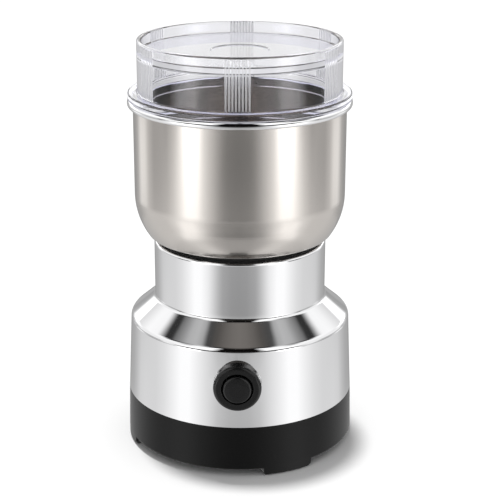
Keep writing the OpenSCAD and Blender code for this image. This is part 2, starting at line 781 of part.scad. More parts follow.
// Black moulded base cover with its four feet, screw wells and ventilation slots
module base_cover() {
    well_r = 2 * base_screw_r + 0.4;
    foot_top = foot_h + base_edge_r + 0.5;
    spigot_r = body_r - sheet_t - body_taper * spigot_h / body_h - fit_gap;
    spigot_in = spigot_r - 1.8;
    outline = [
        [0, base_z],
        [base_r, base_z],
        [body_r, base_top_z],
        [spigot_r, base_top_z],
        [spigot_r, base_top_z + spigot_h],
        [spigot_in, base_top_z + spigot_h],
        [spigot_in, base_top_z - 2],
        [base_in_r, base_top_z - 4],
        [base_in_r, base_z + base_floor],
        [0, base_z + base_floor]
    ];
    color("#202022")
        difference() {
            union() {
                rotate_extrude()
                    polygon(rounded(outline, [0, base_edge_r, 0.3, 0, 0.5, 0.5, 0, 0, 0.8, 0]));
                // Feet
                for (angle = foot_angles)
                    rotate([0, 0, angle])
                        intersection() {
                            tube(pad_proud, foot_top - pad_proud, base_r - eps, base_r - foot_d);
                            foot_block(0, pad_proud, base_z + base_floor + 1);
                        }
                // Screw bosses, each with a wide well below and a narrow top
                for (angle = post_angles)
                    at(angle, post_reach) {
                        translate([0, 0, base_z]) cylinder(r = well_r + 1.6, h = 9);
                        translate([0, 0, base_z]) cylinder(r = post_r, h = boss_top_z - base_z);
                    }
                // Flat boss round the cable inlet
                intersection() {
                    at(180, 0)
                        facing_front(inlet_z)
                            translate([0, 0, base_in_r - 1.2])
                                cylinder(r = inlet_flange_r + 1.5, h = base_wall + 1.2 + 1);
                    translate([0, 0, base_z + 0.3]) cylinder(r = base_r + 3, h = base_h - 0.6);
                }
            }
            // Screw holes and wells
            for (angle = post_angles)
                at(angle, post_reach) {
                    translate([0, 0, base_z - eps]) cylinder(r = well_r, h = well_top_z - base_z);
                    translate([0, 0, base_z]) cylinder(r = base_screw_r + fit_gap, h = base_h + spigot_h);
                }
            // Seats of the rubber pads
            for (angle = foot_angles)
                rotate([0, 0, angle])
                    intersection() {
                        tube(
                            pad_proud - eps, pad_t - pad_proud + eps,
                            base_r - pad_margin, base_r - foot_d + pad_margin
                        );
                        foot_block(-pad_margin, pad_proud - 2, base_z);
                    }
            // Cable inlet
            at(180, 0)
                facing_front(inlet_z)
                    translate([0, 0, base_in_r - 5])
                        cylinder(r = inlet_neck_r, h = 20);
            // Ventilation slots, as long as the round field they lie in allows
            for (i = [-floor(vent_r / vent_pitch):floor(vent_r / vent_pitch)]) {
                half = sqrt(pow(vent_r, 2) - pow(i * vent_pitch, 2));
                if (half > 6)
                    translate([0, i * vent_pitch, base_z - 1]) {
                        translate([-half + vent_w / 2, -vent_w / 2, 0])
                            cube([2 * half - vent_w, vent_w, base_floor + 2]);
                        for (end = [-1, 1])
                            translate([end * (half - vent_w / 2), 0, 0])
                                cylinder(r = vent_w / 2, h = base_floor + 2, $fn = 24);
                    }
            }
        }
}

// Four rubber pads let into the feet
module foot_pads() {
    color("#303030")
        for (angle = foot_angles)
            rotate([0, 0, angle])
                intersection() {
                    tube(0, pad_t, base_r - pad_margin - fit_gap, base_r - foot_d + pad_margin + fit_gap);
                    foot_block(-pad_margin - fit_gap, -2, base_z);
                }
}

// Four long screws from the underside of the base into the frame's posts
module base_screws() {
    color("dimgray")
        for (angle = post_angles)
            at(angle, post_reach)
                translate([0, 0, well_top_z - eps]) {
                    translate([0, 0, -2]) cylinder(r = 2 * base_screw_r, h = 2);
                    cylinder(r = base_screw_r, h = base_screw_l);
                }
}

// Black bush that lines the hole for the mains lead, with a flange on each side
module cable_inlet() {
    flat = base_in_r + base_wall + 1;
    inside = base_in_r - 1.2;
    color("#1b1b1c")
        at(180, 0)
            facing_front(inlet_z)
                difference() {
                    union() {
                        translate([0, 0, flat])
                            cylinder(r1 = inlet_flange_r, r2 = inlet_flange_r - 0.8, h = inlet_flange_t);
                        translate([0, 0, inside - 1])
                            cylinder(r = inlet_neck_r - fit_gap / 2, h = flat - inside + 1 + eps);
                        translate([0, 0, inside - 1.8])
                            cylinder(r = inlet_neck_r + 1 - fit_gap / 2, h = 1.8);
                    }
                    translate([0, 0, inside - 3]) cylinder(r = inlet_r, h = 20);
                }
}

// ---- Motor frame ---------------------------------------------------------------

// Black moulded frame that lines the neck and shoulder. The bowl is screwed to its
// top, the motor hangs under it, and its posts reach down to the base cover.
module motor_frame() {
    line = beside(body_path, sheet_t + moving_gap);
    skirt_z = sleeve_top_z - frame_skirt_h;
    skirt_out = line[1][0] + body_taper * frame_skirt_h / body_h;
    side = [
        [skirt_out, skirt_z],
        line[1],
        line[2],
        [neck_r - sheet_t - moving_gap, lip_under_z]
    ];
    wall = beside(side, frame_wall);
    middle = beside(side, frame_wall / 2);
    middle_line = [middle[0], middle[1], middle[2]];
    outline = concat(
        side,
        [
            [platform_r, lip_under_z],
            [platform_r, bowl_z],
            [seal_r, bowl_z],
            [seal_r, plate_under_z],
            [wall[3][0], plate_under_z]
        ],
        [wall[2], wall[1], wall[0]]
    );
    radii = [0, edge_r, 1.5, 1.2, 0, 0.4, 0, 0, 1, 0.5, 1, 0];
    color("#2a2a2c")
        difference() {
            union() {
                rotate_extrude() polygon(rounded(outline, radii));
                // Posts, which end in the middle of the wall they hang from
                intersection() {
                    for (angle = post_angles)
                        at(angle, post_reach)
                            translate([0, 0, boss_top_z])
                                cylinder(r = post_r, h = neck_z - base_top_z);
                    rotate_extrude()
                        polygon(concat([[0, 0], [middle[0][0], 0]], middle_line, [[0, middle[2][1]]]));
                }
                // Bosses under the bowl screws
                for (angle = bowl_screw_angles)
                    at(angle, bowl_screw_reach)
                        translate([0, 0, plate_under_z - 3])
                            cylinder(r = bowl_screw_r + 2.2, h = 4);
            }
            for (angle = post_angles)
                at(angle, post_reach)
                    translate([0, 0, base_top_z])
                        cylinder(r = base_screw_r, h = well_top_z + base_screw_l + 1 - base_top_z);
            for (angle = bowl_screw_angles)
                at(angle, bowl_screw_reach)
                    translate([0, 0, plate_under_z - 4])
                        cylinder(r = bowl_screw_r, h = 20);
            for (angle = mount_angles)
                at(angle, mount_reach) {
                    translate([0, 0, mount_seat_z]) cylinder(r = 2 * mount_screw_r + 0.2, h = 4);
                    translate([0, 0, plate_under_z - 1]) cylinder(r = mount_screw_r + fit_gap, h = 9);
                }
        }
}

// Three rubber rings between the frame and the upper bracket
module motor_dampers() {
    color("#303030")
        for (angle = mount_angles)
            at(angle, mount_reach)
                tube(bracket_top_z, damper_h, damper_r, mount_screw_r + fit_gap);
}

// Three screws from the frame's top through the dampers into the upper bracket
module mounting_screws() {
    color("dimgray")
        for (angle = mount_angles)
            at(angle, mount_reach)
                screw(mount_seat_z, mount_screw_r, mount_seat_z - bracket_under_z, 2 * mount_screw_r, 2);
}

// ---- Motor ---------------------------------------------------------------------

// Pillars of a bracket, one on each motor bolt
module pillars(z, h) {
    for (place = bolt_places)
        translate([place[0], place[1], z])
            cylinder(r = pillar_r, h = h);
}

// Holes for the motor bolts
module bolt_holes(z, h, r) {
    for (place = bolt_places)
        translate([place[0], place[1], z])
            cylinder(r = r, h = h);
}

// Upper motor bracket: a round plate with the bearing cup and two pillars
module upper_bracket() {
    skirt = 1.6;
    color("#8d9094")
        difference() {
            union() {
                translate([0, 0, bracket_under_z]) cylinder(r = upper_disc_r, h = bracket_t);
                pillars(stack_top_z, bracket_top_z - stack_top_z);
                translate([0, 0, bracket_under_z - skirt])
                    cylinder(r = cup_r, h = cup_top_z - bracket_under_z + skirt);
            }
            translate([0, 0, up_bearing_z]) cylinder(r = bush_seat_r, h = bearing_l + 1);
            translate([0, 0, bracket_under_z - 2]) cylinder(r = shaft_r + 1.5, h = bearing_l);
            bolt_holes(stack_top_z - eps, bolt_top_z - stack_top_z + 0.5, bolt_r);
            for (angle = mount_angles)
                at(angle, mount_reach)
                    translate([0, 0, bracket_under_z - eps])
                        cylinder(r = mount_screw_r, h = bracket_t + 2 * eps);
        }
}

// Lower motor bracket: a round plate with the bearing cup, two pillars and the
// cheeks that hold the brush holders
module lower_bracket() {
    cheek_t = 1.5;
    cheek_l = 10;
    air_hole_r = 3.2;
    air_hole_reach = 20;
    air_hole_turn = 24;
    color("#8a5a3a")
        difference() {
            union() {
                translate([0, 0, lower_bracket_z]) cylinder(r = lower_disc_r, h = bracket_t);
                pillars(lower_bracket_z, stack_z - lower_bracket_z);
                translate([0, 0, cup_under_z])
                    cylinder(r = cup_r, h = lower_bracket_z + bracket_t - cup_under_z);
                for (side = [-1, 1], end = [-1, 1])
                    translate([
                        end * (holder_in_x + 8) - cheek_l / 2,
                        side * (holder_w / 2 + cheek_t / 2) - cheek_t / 2,
                        lower_bracket_z
                    ])
                        cube([cheek_l, cheek_t, bracket_t + holder_h * 0.7]);
            }
            translate([0, 0, low_bearing_z]) cylinder(r = bush_seat_r, h = 40);
            bolt_holes(lower_bracket_z - eps, 60, bolt_r + fit_gap);
            // Air holes in the plate
            for (angle = [0, 180], turn = [-1, 0, 1])
                at(angle + turn * air_hole_turn, air_hole_reach)
                    translate([0, 0, lower_bracket_z - 1])
                        cylinder(r = air_hole_r, h = bracket_t + 2);
        }
}

// A barrel-shaped bronze bush
module bronze_bush(z) {
    color("peru")
        difference() {
            intersection() {
                translate([0, 0, z]) cylinder(r = bearing_r + 1, h = bearing_l);
                translate([0, 0, z + bearing_l / 2]) sphere(r = bearing_r);
            }
            translate([0, 0, z - eps]) cylinder(r = shaft_r + running_gap, h = bearing_l + 2 * eps);
        }
}

module upper_bearing() {
    bronze_bush(up_bearing_z);
}

module lower_bearing() {
    bronze_bush(low_bearing_z);
}

// Two spring-steel rings that keep the bushes in their cups
module bearing_retainers() {
    color("silver") {
        tube(cup_top_z, retainer_t, cup_r, shaft_r + 1);
        tube(retainer_low_z, retainer_t, bush_seat_r, shaft_r + 1);
    }
}

// Two long bolts that clamp the stator between the brackets
module motor_bolts() {
    color("gainsboro")
        for (place = bolt_places)
            translate([place[0], place[1], 0]) {
                translate([0, 0, lower_bracket_z - bolt_head_h])
                    cylinder(r = 1.7 * bolt_r, h = bolt_head_h);
                translate([0, 0, lower_bracket_z - eps])
                    cylinder(r = bolt_r, h = bolt_top_z - lower_bracket_z);
            }
}

// Stack of steel sheets with two poles, left and right of the armature
module stator_core() {
    tip_r = pole_r + pole_tip_t;
    window_x = stator_x - yoke_t;
    window_y = stator_y - yoke_side_t;
    tip_x = tip_r * 0.45;
    body = [
        [-stator_x, -stator_y], [stator_x, -stator_y],
        [stator_x, stator_y], [-stator_x, stator_y]
    ];
    corner = stator_corner_r;
    color("#6d6a68")
        translate([0, 0, stack_z])
            linear_extrude(stack_h)
                difference() {
                    polygon(rounded(body, [corner, corner, corner, corner]));
                    circle(r = pole_r);
                    // The gap between the tips of the two poles
                    translate([-tip_x, -window_y]) square([2 * tip_x, 2 * window_y]);
                    // The four windows that the coils lie in
                    for (x = [-1, 1], y = [-1, 1])
                        difference() {
                            translate([
                                x * (tip_x + window_x) / 2 - (window_x - tip_x) / 2 - eps,
                                y * (pole_half_w + window_y) / 2 - (window_y - pole_half_w) / 2
                            ])
                                square([window_x - tip_x + eps, window_y - pole_half_w]);
                            circle(r = tip_r);
                        }
                    for (place = bolt_places)
                        translate(place) circle(r = bolt_r + fit_gap);
                }
}

// Two copper coils, one round each pole
module field_coils() {
    inner_y = pole_half_w + coil_clear;
    outer_y = stator_y - yoke_side_t - 1.3;
    x_in = pole_r + 0.8;
    x_out = stator_x - yoke_t - coil_clear;
    coil_top = stack_h + 2 * coil_clear + 2 * coil_side;
    outer = [
        [-outer_y, 0], [outer_y, 0], [outer_y, coil_top], [-outer_y, coil_top]
    ];
    inner = [
        [-inner_y, coil_side], [inner_y, coil_side],
        [inner_y, coil_top - coil_side], [-inner_y, coil_top - coil_side]
    ];
    color("#b5602f")
        for (side = [0, 180])
            rotate([0, 0, side])
                difference() {
                    translate([x_in, 0, coil_under_z])
                        rotate([90, 0, 90])
                            linear_extrude(x_out - x_in)
                                difference() {
                                    polygon(rounded(outer, [4, 4, 4, 4]));
                                    polygon(rounded(inner, [0.2, 0.2, 0.2, 0.2]));
                                }
                    // Room for the pole tips
                    translate([0, 0, stack_z - 1])
                        cylinder(r = pole_r + pole_tip_t + 0.2, h = stack_h + 2);
                }
}

// Steel shaft with a thinner threaded end for the blade
module motor_shaft() {
    color("silver") {
        translate([0, 0, shaft_z]) cylinder(r = shaft_r, h = blade_z - shaft_z);
        translate([0, 0, blade_z - eps]) cylinder(r = thread_r, h = shaft_top_z - blade_z + eps);
    }
}

// The middle of an armature slot
slot_reach = armature_r - 1.2 - slot_r;

// Stack of slotted steel sheets on the shaft
module armature_core() {
    color("#5f5c5a")
        translate([0, 0, stack_z])
            linear_extrude(stack_h)
                difference() {
                    circle(r = armature_r);
                    circle(r = shaft_r);
                    for (i = [0:armature_slots - 1])
                        rotate(360 * i / armature_slots) {
                            translate([slot_reach, 0]) circle(r = slot_r, $fn = 32);
                            translate([slot_reach, -0.8]) square([armature_r, 1.6]);
                        }
                }
}

// Copper windings: two rings of end turns, joined through the slots
module armature_windings() {
    reach = slot_reach + slot_r - 0.3;
    low = [
        [shaft_r + 1.6, stack_z - end_turn_h], [reach, stack_z - end_turn_h],
        [reach, stack_z], [shaft_r + 1.6, stack_z]
    ];
    high = [
        [shaft_r + 1.6, stack_top_z], [reach, stack_top_z],
        [reach, stack_top_z + end_turn_h], [shaft_r + 1.6, stack_top_z + end_turn_h]
    ];
    color("#b5602f") {
        rotate_extrude() polygon(rounded(low, [1, 2.4, 0, 0]));
        rotate_extrude() polygon(rounded(high, [0, 0, 2.4, 1]));
        for (i = [0:armature_slots - 1])
            rotate([0, 0, 360 * i / armature_slots])
                translate([slot_reach, 0, stack_z - eps])
                    cylinder(r = slot_r - fit_gap, h = stack_h + 2 * eps, $fn = 32);
    }
}

// Height of the commutator's riser, where the windings end
riser_h = 1.6;

// Moulded hub under the copper bars
module commutator_hub() {
    color("#5a2a1c")
        tube(commutator_z, commutator_l + riser_h, commutator_r - 2, shaft_r);
}

// Copper bars, one for each slot
module commutator_bars() {
    color("#c87f4a")
        difference() {
            union() {
                tube(commutator_z, commutator_l, commutator_r, commutator_r - 2);
                tube(commutator_z + commutator_l, riser_h, commutator_r + 1.4, commutator_r - 2);
            }
            for (i = [0:armature_slots - 1])
                rotate([0, 0, 360 * (i + 0.5) / armature_slots])
                    translate([0, -0.3, commutator_z - 1])
                        cube([commutator_r + 3, 0.6, commutator_l + riser_h + 2]);
        }
}

// Washer that carries the rotor's weight on the lower bush's ring
module thrust_washer() {
    color("silver")
        tube(washer_z, washer_t, bush_seat_r - moving_gap, shaft_r);
}

// Moulded fan on the shaft, with curved blades under a disc
module cooling_fan() {
    hub_r = shaft_r + 2.5;
    disc_z = stack_top_z + coil_side + coil_clear + 1.4;
    disc_t = 1.2;
    blade_w = 1;
    sweep = fan_r * 0.8;
    color("#3a3a3c") {
        tube(disc_z - 1, disc_t + fan_blade_h + 1, hub_r, shaft_r);
        tube(disc_z, disc_t, fan_r, shaft_r);
        for (i = [0:fan_blades - 1])
            rotate([0, 0, 360 * i / fan_blades])
                translate([0, 0, disc_z + disc_t - eps])
                    linear_extrude(fan_blade_h + eps)
                        polygon(concat(
                            arc([hub_r - 0.5, sweep], sweep + blade_w / 2, -90, -38, corner_steps),
                            reversed(arc([hub_r - 0.5, sweep], sweep - blade_w / 2, -90, -38, corner_steps))
                        ));
    }
}

// ---- Brush gear ----------------------------------------------------------------

// Places its children along +X and again along -X, at the height of the brushes
module both_sides() {
    for (side = [0, 180])
        rotate([0, 0, side])
            translate([0, 0, brush_z])
                children();
}

// A bar along X with its middle on the axis of the brushes
module bar(from_x, to_x, w, h) {
    translate([from_x, -w / 2, -h / 2]) cube([to_x - from_x, w, h]);
}

module brush_holders() {
    color("goldenrod")
        both_sides()
            difference() {
                bar(holder_in_x, holder_reach, holder_w, holder_h);
                bar(
                    holder_in_x - 1, holder_reach + 1,
                    holder_w - 2 * holder_wall, holder_h - 2 * holder_wall
                );
            }
}

module carbon_brushes() {
    color("#2c2c2e")
        both_sides()
            difference() {
                bar(commutator_r - 1, commutator_r + brush_gap + brush_l, brush_w, brush_h);
                translate([0, 0, -brush_h]) cylinder(r = commutator_r + brush_gap, h = 2 * brush_h);
            }
}

module brush_springs() {
    from_x = commutator_r + brush_gap + brush_l + fit_gap;
    color("silver")
        both_sides()
            translate([from_x, 0, 0])
                rotate([0, 90, 0])
                    coil_spring(brush_spring_r, brush_wire_r, holder_reach - from_x - fit_gap, brush_turns);
}

// Brass end caps with the tags that the leads push on
module brush_caps() {
    color("goldenrod")
        both_sides() {
            bar(holder_reach, holder_reach + 0.8, holder_w, holder_h);
            translate([holder_reach, -1.6, holder_h / 2 - eps])
                cube([0.8, 3.2, 3.5]);
        }
}

// ---- Switch and button ---------------------------------------------------------

// Black bezel and barrel, seated on the curve of the sleeve
module switch_bezel() {
    outline = [
        [button_hole_r, neck_r],
        [bezel_r, neck_r],
        [bezel_r, bezel_front],
        [button_hole_r, bezel_front]
    ];
    color("#1b1b1c")
        difference() {
            union() {
                difference() {
                    facing_front(button_z)
                        rotate_extrude() polygon(rounded(outline, [0, 0, bezel_edge_r, 0.4]));
                    sleeve_solid();
                }
                facing_front(button_z)
                    tube(barrel_back, front_wall - barrel_back + 0.5, barrel_r, button_hole_r);
            }
            facing_front(button_z)
                translate([0, 0, barrel_back - 1])
                    cylinder(r = barrel_bore_r, h = barrel_stop - barrel_back + 1);
        }
}

// Knurled ring nut that pulls the bezel against the steel
module switch_nut() {
    color("#2a2a2c")
        facing_front(button_z)
            difference() {
                tube(nut_front - switch_nut_t, switch_nut_t, switch_nut_r, barrel_r);
                for (i = [0:17])
                    rotate([0, 0, 20 * i])
                        translate([switch_nut_r + 0.3, 0, nut_front - switch_nut_t - 1])
                            cylinder(r = 0.8, h = switch_nut_t + 2, $fn = 16);
            }
}

// Rear housing of the switch, with the shelf that the spring stands on
module switch_housing() {
    half = switch_w / 2;
    square_outline = [[-half, -half], [half, -half], [half, half], [-half, half]];
    color("#3a3a3c")
        facing_front(button_z)
            difference() {
                translate([0, 0, switch_back])
                    linear_extrude(barrel_back - switch_back)
                        polygon(rounded(square_outline, [1.5, 1.5, 1.5, 1.5]));
                translate([0, 0, shelf_front])
                    cylinder(r = barrel_bore_r, h = 20);
                translate([0, 0, switch_back + switch_floor_t])
                    cylinder(r = stem_r + moving_gap, h = 20);
                translate([-6, -3, switch_back + switch_floor_t])
                    cube([12, 6, shelf_front - shelf_t - switch_back - switch_floor_t]);
                for (side = [-1, 1])
                    translate([side * contact_reach - 1.2, -0.4 - fit_gap / 2, switch_back - 1])
                        cube([2.4, 0.8 + fit_gap, switch_floor_t + 2]);
            }
}

// Two brass tags with the fixed contacts on their inner ends
module switch_terminals() {
    color("goldenrod")
        facing_front(button_z)
            for (side = [-1, 1])
                translate([side * contact_reach, 0, 0]) {
                    translate([-1.1, -0.4, switch_back - 4]) cube([2.2, 0.8, switch_floor_t + 4]);
                    translate([0, 0, switch_back + switch_floor_t])
                        cylinder(r = 1.3, h = contact_front - switch_back - switch_floor_t, $fn = 32);
                }
}

// Black push button
module button_cap() {
    outline = [
        [0, cap_back + stem_seat],
        [stem_r, cap_back + stem_seat],
        [stem_r, cap_back],
        [cap_flange_r, cap_back],
        [cap_flange_r, cap_back + cap_flange_t],
        [button_r, cap_back + cap_flange_t],
        [button_r, button_front - 0.3],
        [button_r * 0.55, button_front],
        [0, button_front]
    ];
    color("#1b1b1c")
        facing_front(button_z)
            rotate_extrude()
                polygon(rounded(outline, [0, 0, 0, 0.2, 0.2, 0, button_edge_r, 3, 0]));
}

// Stem that the button pushes, with the moving contact on its end
module button_stem() {
    color("goldenrod")
        facing_front(button_z) {
            translate([0, 0, stem_end]) cylinder(r = stem_r, h = cap_back + stem_seat - stem_end);
            translate([-contact_reach - 1.4, -1.6, stem_end])
                cube([2 * contact_reach + 2.8, 3.2, contact_t]);
        }
}

module button_spring() {
    color("silver")
        facing_front(button_z)
            translate([0, 0, shelf_front + 0.02])
                coil_spring(spring_r, spring_wire_r, cap_back - shelf_front - 0.04, spring_turns);
}

// ---- Wiring pieces on the floor of the base ------------------------------------

module terminal_block() {
    floor_z = base_z + base_floor;
    lead_r = 1.6;
    screw_hole_r = 1.5;
    color("ivory")
        difference() {
            translate([-block_l / 2, block_reach, floor_z]) cube([block_l, block_w, block_h]);
            // A lead hole and a screw hole for each of the two wires
            for (x = [-block_l / 4, block_l / 4]) {
                translate([x, block_reach - 1, floor_z + 3.5])
                    rotate([-90, 0, 0]) cylinder(r = lead_r, h = block_w + 2);
                translate([x, block_reach + block_w / 2, floor_z + block_h / 2])
                    cylinder(r = screw_hole_r, h = block_h);
            }
        }
}

module suppression_capacitor() {
    floor_z = base_z + base_floor;
    half_x = capacitor_half_l;
    half_y = capacitor_half_w;
    body = [[-half_x, -half_y], [half_x, -half_y], [half_x, half_y], [-half_x, half_y]];
    color("gold")
        translate([0, -capacitor_reach, floor_z])
            linear_extrude(capacitor_h)
                polygon(rounded(body, [1, 1, 1, 1]));
}

// ---- What is drawn -------------------------------------------------------------

lid();
bowl();
bowl_collar();
bowl_screws();
shaft_seal();
blade();
blade_spacer();
blade_washer();
blade_nut();
body_shell();
base_cover();
foot_pads();
base_screws();
cable_inlet();
motor_frame();
motor_dampers();
mounting_screws();
upper_bracket();
lower_bracket();
upper_bearing();
lower_bearing();
bearing_retainers();
motor_bolts();
stator_core();
field_coils();
motor_shaft();
armature_core();
armature_windings();
commutator_hub();
commutator_bars();
thrust_washer();
cooling_fan();
brush_holders();
carbon_brushes();
brush_springs();
brush_caps();
switch_bezel();
switch_nut();
switch_housing();
switch_terminals();
button_cap();
button_stem();
button_spring();
terminal_block();
suppression_capacitor();
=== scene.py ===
# %% [markdown]
# # Electric spice grinder
# A small grinder with a spun steel bowl, a clear lift-off lid, a polished steel body
# with a push button, and a black moulded base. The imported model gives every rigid
# piece its shape. This lesson gives the pieces their finishes, makes the wire, the
# windings and the screws, and sets up the table, the light and the camera.

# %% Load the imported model
import math

import bpy
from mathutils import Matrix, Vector


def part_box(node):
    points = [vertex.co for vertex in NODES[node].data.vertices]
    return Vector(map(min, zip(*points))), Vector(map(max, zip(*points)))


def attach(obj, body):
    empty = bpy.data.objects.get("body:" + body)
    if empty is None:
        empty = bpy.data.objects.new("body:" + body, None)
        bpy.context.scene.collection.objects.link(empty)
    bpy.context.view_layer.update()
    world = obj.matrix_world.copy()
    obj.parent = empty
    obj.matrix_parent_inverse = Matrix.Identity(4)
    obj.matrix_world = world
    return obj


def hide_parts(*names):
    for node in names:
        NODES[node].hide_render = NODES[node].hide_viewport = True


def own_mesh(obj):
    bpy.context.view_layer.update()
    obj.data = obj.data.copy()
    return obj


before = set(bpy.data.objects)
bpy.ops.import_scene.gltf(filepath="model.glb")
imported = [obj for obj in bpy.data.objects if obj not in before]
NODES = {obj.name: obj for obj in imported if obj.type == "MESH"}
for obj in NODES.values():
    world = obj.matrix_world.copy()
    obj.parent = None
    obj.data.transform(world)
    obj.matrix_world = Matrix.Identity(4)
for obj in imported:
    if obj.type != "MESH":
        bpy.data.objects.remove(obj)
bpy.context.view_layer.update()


# %% [markdown]
# ## Small helpers
# Every material and every tree of geometry nodes is made of nodes and links. One
# function adds a node with its settings and joins it to what it reads. Colours are
# written as hex values, as a paint chart gives them, and turned to linear light. A
# grinder is round, so many patterns need two measures: how far a point is from the
# upright axis, and how far round it is from the front.

# %% Helpers for colours and nodes
def linear(hex_colour):
    """An sRGB hex colour such as "#8a5a3a" as linear red, green, blue and 1."""
    parts = [int(hex_colour[i:i + 2], 16) / 255 for i in (1, 3, 5)]
    return [c / 12.92 if c <= 0.04045 else ((c + 0.055) / 1.055) ** 2.4 for c in parts] + [1.0]


def node(tree, kind, inputs=None, **settings):
    """Adds a node. inputs gives sockets a value, or a link to another node's socket."""
    made = tree.nodes.new(kind)
    for name, value in settings.items():
        setattr(made, name, value)
    for name, value in (inputs or {}).items():
        if isinstance(value, bpy.types.NodeSocket):
            tree.links.new(value, made.inputs[name])
        else:
            made.inputs[name].default_value = value
    return made


# Settings that many nodes share
COLOURS = {"data_type": "RGBA"}
TIMES = {**COLOURS, "blend_type": "MULTIPLY"}
PLUS = {**COLOURS, "blend_type": "ADD"}
SOFT_STEP = {"interpolation_type": "SMOOTHSTEP"}


# %% Measures round the upright axis
def split(tree, position):
    """A position as its X, Y and Z."""
    return node(tree, "ShaderNodeSeparateXYZ", {0: position}).outputs


def on_piece(tree):
    """The place on the piece, split into X, Y and Z. It moves with the piece."""
    return split(tree, node(tree, "ShaderNodeTexCoord").outputs["Object"])


def out_from_axis(tree, place):
    """The place without its height, and how far that is from the axis."""
    flat = node(tree, "ShaderNodeCombineXYZ", {0: place["X"], 1: place["Y"]}).outputs[0]
    return flat, node(tree, "ShaderNodeVectorMath", {0: flat}, operation="LENGTH").outputs["Value"]


def turn_from_front(tree, place):
    """Angle from the front to either side, in radians and as a share of half a turn."""
    to_front = node(tree, "ShaderNodeMath", {0: place["Y"], 1: -1.0}, operation="MULTIPLY")
    angle = node(tree, "ShaderNodeMath", {0: place["X"], 1: to_front.outputs[0]}, operation="ARCTAN2")
    side = node(tree, "ShaderNodeMath", {0: angle.outputs[0]}, operation="ABSOLUTE").outputs[0]
    return side, node(tree, "ShaderNodeMapRange", {0: side, 1: 0.0, 2: math.pi}).outputs[0]


# %% [markdown]
# ## Camera
# The camera looks down on the grinder from the front, as a product photographer
# would place it: a long lens, a little above the lid, so that its round top shows.
# It stands a touch to the right, so the button sits just left of the middle.

# %% Camera
CAMERA_REACH = 0.5884
CAMERA_HEIGHT = 0.284
CAMERA_TURN = 1.2
CAMERA_PITCH = 18.71
LENS, SENSOR = 102.11, 36
SIDE_SHIFT = 0.0202
NEAREST = 0.01
camera = bpy.data.objects.new("camera", bpy.data.cameras.new("camera"))
bpy.context.scene.collection.objects.link(camera)
aside = math.radians(CAMERA_TURN)
camera.location = (CAMERA_REACH * math.sin(aside), -CAMERA_REACH * math.cos(aside), CAMERA_HEIGHT)
camera.rotation_euler = (math.radians(90 - CAMERA_PITCH), 0, aside)
camera.data.lens = LENS
camera.data.sensor_width = SENSOR
camera.data.shift_x = SIDE_SHIFT
camera.data.clip_start = NEAREST
bpy.context.scene.camera = camera
bpy.context.scene.view_settings.view_transform = "Standard"
print("camera", CAMERA_REACH, "m away, pitched down by", CAMERA_PITCH)


# %% [markdown]
# ## Light tent
# Polished steel has hardly any colour of its own: it shows what stands round it. A
# photographer puts it in a tent of soft panels, with dark cards between them, which
# give the long vertical bands on the metal. Here the tent is the world. Metal and
# clear plastic see the panels, the camera sees plain white, and matt surfaces get one
# even light from all sides, so that their colours render as they are written.
#
# The tent is described by height above the horizon and by the angle round the
# grinder, 0 at the front and positive to the right. Brightness 1 is white paper.

# %% The panels of the tent
# Brightness against the angle from the front, from the floor up to the horizon
FLOOR_PANELS = [(0, 0.5), (18, 0.5), (35, 0.6), (55, 0.9), (70, 0.95), (90, 0.8), (120, 0.7), (180, 0.4)]
DEEP_PANELS = [
    (0, 0.38), (16, 0.44), (30, 0.66), (42, 0.92), (52, 1.2), (59, 1.4), (74, 1.4), (86, 0.95), (100, 0.85),
    (120, 0.8), (180, 0.4),
]
UNDER_PANELS = [
    (0, 0.46), (16, 0.56), (28, 0.78), (38, 0.95), (46, 1.2), (53, 1.5), (67, 1.5), (78, 1.05), (90, 0.85),
    (120, 0.8), (180, 0.4),
]
LOW_PANELS = [
    (0, 0.52), (10, 0.54), (21, 0.64), (31, 0.88), (42, 1.1), (52, 1.28), (62, 1.28), (73, 1.1),
    (83, 0.95), (95, 0.85), (114, 0.85), (124, 0.8), (134, 0.62), (144, 0.5), (154, 0.45), (170, 0.33),
]
BREAST_PANELS = [
    (0, 0.58), (10, 0.6), (21, 0.7), (31, 0.9), (42, 1.1), (52, 1.28), (62, 1.28), (73, 1.1),
    (83, 0.95), (95, 0.85), (114, 0.8), (124, 0.75), (134, 0.62), (144, 0.5), (154, 0.45), (170, 0.33),
]
MIDDLE_PANELS = [
    (0, 0.04), (10, 0.05), (16, 0.1), (21, 0.28), (31, 0.8), (40, 1.4), (46, 2.0), (58, 2.0), (66, 1.5),
    (75, 0.95), (83, 0.65), (93, 0.5), (104, 0.48), (114, 0.75), (122, 1.2), (132, 1.2), (142, 0.6),
    (154, 0.4), (170, 0.35),
]
HORIZON_PANELS = [
    (0, 0.6), (12, 0.7), (20, 1.0), (37, 1.3), (43, 3.3), (58, 3.3), (64, 1.3), (69, 0.12), (84, 0.12),
    (90, 0.6), (125, 0.65), (150, 0.5), (180, 0.45),
]
# Heights between which one set of panels goes over to the next, from the floor up
STEPS = [(-52, -46), (-42, -37), (-26, -22), (-22, -19), (-17.8, -17.0), (-13, -11)]
